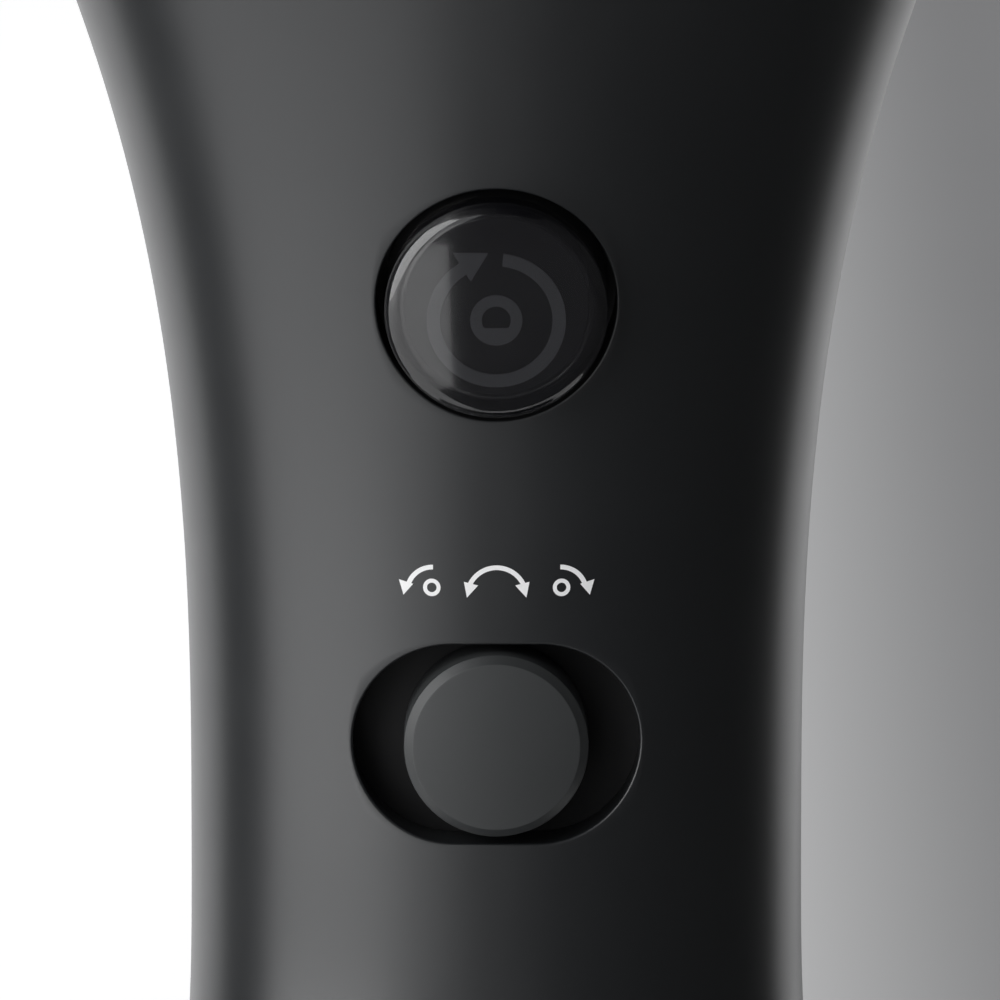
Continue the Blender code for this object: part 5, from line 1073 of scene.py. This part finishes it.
def footRing(z, inset=0.0, half=grip["foot"]):
    ring = ovalRing(0.0, half[0] - inset, half[1] - inset, grip["footSquareness"], 0.0,
                    pack["columns"])
    return [Vector((point.x, point.z, z)) for point in ring]


def roundedRings(bottom, top, lowEdge, highEdge, half=grip["foot"]):
    steps = 5
    rings = [footRing(bottom + lowEdge * up, lowEdge * into, half)
             for up, into in quarterRound(steps)]
    rings += [footRing(bottom + lowEdge + (top - highEdge - bottom - lowEdge) * share, 0.0, half)
              for share in (0.2, 0.4, 0.6, 0.8)]
    return rings + [footRing(top - highEdge * down, highEdge * into, half)
                    for into, down in quarterRound(steps)]


def cutBothSides(piece, xs, ys, zs):
    for side in (-1.0, 1.0):
        near, far = sorted((side * xs[0], side * xs[1]))
        combine(piece, box("window", (near, ys[0], zs[0]), (far, ys[1], zs[1])))


def finishPackShell(piece, node, levels):
    # keeps the frame's own inside; large faces lead the shading, so that the cuts leave the
    # walls clean
    core = loft(node + "_core", [footRing(z, pack["wall"] / 2.0) for z in levels])
    combine(core, frameCopy(node))
    combine(piece, core)
    finishPiece(piece, "satin_black", "battery", [node])
    takeUp(piece)
    modifier = piece.modifiers.new("Even", "WEIGHTED_NORMAL")
    modifier.mode = "FACE_AREA"
    modifier.weight = 100
    modifier.keep_sharp = True
    bpy.ops.object.modifier_apply(modifier=modifier.name)


def makeBatteryCase():
    top = pack["parting"] - pack["gap"] - skim
    piece = loft("batteryCase", roundedRings(pack["bottom"] + skim, top, pack["edge"],
                                             pack["partingEdge"]))
    cutBothSides(piece, *pack["releaseWindow"])
    finishPackShell(piece, "battery_case", (-5.0, 20.0))


def makeBatteryLid():
    top, half, railEdge = pack["top"], pack["bezelHalf"], 0.3
    piece = loft("batteryLid", roundedRings(pack["parting"] + pack["gap"] + skim,
                                            pack["bezelTop"] - skim, pack["partingEdge"],
                                            pack["partingEdge"]))
    far, above = 60.0, 40.0
    for low, high in (((-far, -far, top), (far, pack["bezelY"], above)),
                      ((-far, 0.0, top), (-half, far, above)),
                      ((half, 0.0, top), (far, far, above))):
        combine(piece, box("step", low, high))
    for (wide, low, high), endY in ((pack["neck"], pack["bezelY"] + 2.0),
                                    (pack["head"], pack["railY"][1])):
        combine(piece, box("rail", (-wide, pack["railY"][0], low), (wide, endY, high), railEdge),
                "UNION")
    pocket = pack["pocket"]
    combine(piece, box("pocket", (-pocket["half"], -above, pocket["z"]),
                       (pocket["half"], pocket["end"], above)))
    cutBothSides(piece, *pack["releaseWindow"])
    cutBothSides(piece, *pack["hookSlot"])
    finishPackShell(piece, "battery_lid", (8.0, top - 1.0))


def makeBasePad():
    piece = loft("basePad", roundedRings(0.0, pack["padTop"], *pack["padEdges"], pack["padHalf"]))
    finishPiece(piece, "rubber", "battery", ["base_pad"])


def makeHousingScrews():
    # the screw's head is a low dome over a shank, with a six-sided socket
    outline = [(0.0, 1.8), (1.75, 1.8)] + arc((1.75, 0.95), 0.85, 84.0, 0.0, 5)
    outline += [(2.6, 0.0), (1.25, 0.0), (1.25, -13.3), (0.85, -13.7), (0.0, -13.7)]
    socket = [(0.0, 3.0), (1.15, 3.0), (1.15, 0.7), (0.0, 0.5)]
    for index, (x, z) in enumerate(screws["places"]):
        place = Matrix.Translation((x, screws["seatY"], z)) @ Matrix.Rotation(-pi / 2.0, 4, "X")
        piece = turned(f"housingScrew{index + 1}", outline, place, 48)
        combine(piece, turned("socket", socket, place, 6))
        finishPiece(piece, "steel", "blower", [f"housing_screw_{index + 1}"])


springs = {"button_spring": {"name": "buttonCoil", "body": "blower", "joint": "button_press",
                             "turns": 5, "radius": 5.6, "reach": (-13.66, -7.0), "travel": 1.2,
                             "place": buttonPlace}}
for hand, quarter in (("left", -1.0), ("right", 1.0)):
    springs[f"release_spring_{hand}"] = {
        "name": "releaseCoil" + hand.title(), "body": "battery", "joint": f"release_{hand}_press",
        "turns": 3, "radius": 2.0, "reach": (26.7, 29.6), "travel": 1.6,
        "place": Matrix.Translation((0.0, 26.8, 10.0))
        @ Matrix.Rotation(quarter * pi / 2.0, 4, "Y")}


def makeSpring(node, spring):
    # a wire coil with flat ends, on a mesh of its own; how much of it stays when its button is pressed
    # is worked out, but nothing uses it
    place, (start, end), turns = spring["place"], spring["reach"], spring["turns"]
    wire, perTurn, sides, flatEnd, spare = 0.25, 28, 10, 0.5, 0.1
    low, high = start + wire, end - wire
    rings = []
    for step in range(turns * perTurn + 1):
        turn = step / perTurn
        climb = (turn - flatEnd) / (turns - 2.0 * flatEnd)
        height = low + (high - low) * min(max(climb, 0.0), 1.0)
        section = [polar(wire, 2.0 * pi * side / sides) for side in range(sides)]
        rings.append([around(place, spring["radius"] + out, 2.0 * pi * turn, height + up)
                      for out, up in section])
    piece = loft(spring["name"], rings)
    finishPiece(piece, "steel", spring["body"], [node], 60.0)
    foot = place @ Vector((0.0, 0.0, start))
    along = (place @ Vector((0.0, 0.0, end)) - foot).normalized()
    keep = (end - start - spring["travel"] - spare) / (end - start)
    tuple(foot * mm)
    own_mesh(piece)


makeBatteryCase()
makeBatteryLid()
makeBasePad()
makeHousingScrews()
for springNode, springSizes in springs.items():
    makeSpring(springNode, springSizes)
print("battery foot made")


# Every node that is carried over has its own finish; the floor of the knob's recess gets painted
# shade, a darker finish than its own.
slotOf = {row["node"]: row["material_slot"] for row in frame["record"]["subparts"]}
for nodeName, node in frame["nodes"].items():
    node.data.materials.clear()
    finish = "recess_black" if nodeName == "selector_tray" else slotOf[nodeName]
    node.data.materials.append(finishes[finish])


# The studio's sizes are in metres.
studio = {"floorSize": 8.0, "floorDrop": 0.0002, "keyAngle": 53.0, "keyDistance": 0.52,
          "keySize": (0.62, 0.62), "keyHeight": 0.30, "keyAim": 0.24, "keyRadiance": 3.3,
          "backPlace": (-0.25, 0.75, 0.9), "backAim": (-0.15, 0.65, 0.0), "backSize": (0.9, 0.7),
          "backRadiance": 2.6, "worldLevel": 0.14, "worldColour": (0.97, 0.985, 1.0, 1.0),
          # shadeAcross and shadeAlong place the floor's painted shade patch, and grey is its colour
          "shadeAcross": ((-0.035, 0.06), (0.17, 0.09)), "shadeAlong": ((0.12, 0.24), (1.2, 0.98)),
          "pale": ((0.80, 0.80, 0.81), (0.84, 0.84, 0.84)), "grey": (0.13, 0.13, 0.133),
          "floorGlow": 0.55, "cardInner": 0.10, "cardRadius": 0.62, "cardHeight": 1.3,
          "cardLift": 0.003, "cardCuts": 23, "cardEdge": -6.5, "brightLevel": 0.66}


def areaLight(name, place, aim, size, radiance):
    turn = (Vector(aim) - Vector(place)).to_track_quat("-Z", "Y").to_euler()
    bpy.ops.object.light_add(type="AREA", location=place, rotation=turn)
    lamp = bpy.context.object
    lamp.name = name
    lamp.data.shape = "RECTANGLE"
    lamp.data.size, lamp.data.size_y = size
    lamp.data.energy = radiance * pi * size[0] * size[1]
    lamp.visible_camera = False


def makeFloor():
    # pale, with a painted shade behind the right side: a greyer patch, as in the photograph
    deselectAll()
    bpy.ops.mesh.primitive_plane_add(size=studio["floorSize"],
                                     location=(0.0, 0.0, -studio["floorDrop"]))
    floor = bpy.context.object
    floor.name = "floor"
    look = Look("paleFloor", Specular_IOR_Level=0.2, Emission_Strength=studio["floorGlow"])
    cloud = look.noise(look.objectPlace(), 120.0)
    across = look.add("ShaderNodeSeparateXYZ", {"Vector": look.objectPlace()})
    along = Wire(look, look.last.outputs["Y"])
    fades = [look.ramp(value, *ends) for value, pairs in ((across, studio["shadeAcross"]),
                                                          (along, studio["shadeAlong"]))
             for ends in pairs]
    # painted shade: a grey patch behind the right side, in the floor's colour and in its glow, in
    # place of light falling off there
    paintedShadePatch = fades[0] * fades[1] * fades[2] * fades[3]
    tone = look.blend(paintedShadePatch, look.blend(cloud, *studio["pale"]), studio["grey"])
    look.feed("Base Color", tone)
    look.feed("Roughness", cloud * 0.1 + 0.75)
    look.feed("Emission Color", look.blend(look.seen(), (0.0, 0.0, 0.0), tone))
    floor.data.materials.append(look.material)


def makeCard(name, start, end, profile, material):
    # a curved card round the object, which only reflections see; angles run from the front
    # to the right, and the profile is its (radius, height)
    deselectAll()
    bpy.ops.mesh.primitive_plane_add(size=1.0)
    card = bpy.context.object
    card.name = name
    with editing(card):
        selectMesh()
        bpy.ops.mesh.subdivide(number_cuts=studio["cardCuts"])
        with meshOf(card) as bm:
            for corner in bm.verts:
                turn = radians(start + (end - start) * (corner.co.x + 0.5))
                along = (corner.co.y + 0.5) * (len(profile) - 1)
                leg = min(int(along + 1e-4), len(profile) - 2)
                near, far = Vector(profile[leg]), Vector(profile[leg + 1])
                radius, height = near.lerp(far, along - leg)
                corner.co = (radius * sin(turn), -radius * cos(turn), height)
    card.data.materials.append(material)
    card.visible_camera = False
    card.visible_diffuse = False
    card.visible_shadow = False
    card.visible_transmission = False


def makeCards():
    shade = mottled("shadeCloth", (80.0,), ((0.09, 0.09, 0.09), (0.12, 0.12, 0.122)), (0.1, 0.8),
                    Specular_IOR_Level=0.1)
    bright = mottled("brightCard", (200.0, 2.0), ((0.96, 0.97, 1.0), (1.0, 1.0, 1.0)), (0.1, 0.8),
                     "Emission Color", Emission_Strength=studio["brightLevel"])
    edge, lift, outer = studio["cardEdge"], studio["cardLift"], studio["cardRadius"]
    profile = ((studio["cardInner"], lift), (outer, lift), (outer, studio["cardHeight"]))
    makeCard("shadeRight", edge, 129.0, profile, shade)
    makeCard("shadeLeft", -122.0, -86.0, profile, shade)
    makeCard("brightLeft", -84.0, edge, profile[:2], bright)


def makeStudio():
    makeFloor()
    makeCards()
    angle, away = radians(studio["keyAngle"]), studio["keyDistance"]
    areaLight("keyLight", (-away * sin(angle), -away * cos(angle), studio["keyHeight"]),
              (0.0, 0.0, studio["keyAim"]), studio["keySize"], studio["keyRadiance"])
    areaLight("floorLight", studio["backPlace"], studio["backAim"], studio["backSize"],
              studio["backRadiance"])
    world = bpy.data.worlds.new("studioWorld")
    bpy.context.scene.world = world
    world.use_nodes = True
    nodes = NodeSet(world.node_tree)
    level = nodes.seen() * (1.0 - studio["worldLevel"]) + studio["worldLevel"]
    glow = nodes.add("ShaderNodeBackground", {"Color": studio["worldColour"], "Strength": level})
    nodes.add("ShaderNodeOutputWorld", {"Surface": glow})


makeStudio()
bpy.context.scene.view_settings.view_transform = "Standard"
print("studio made")
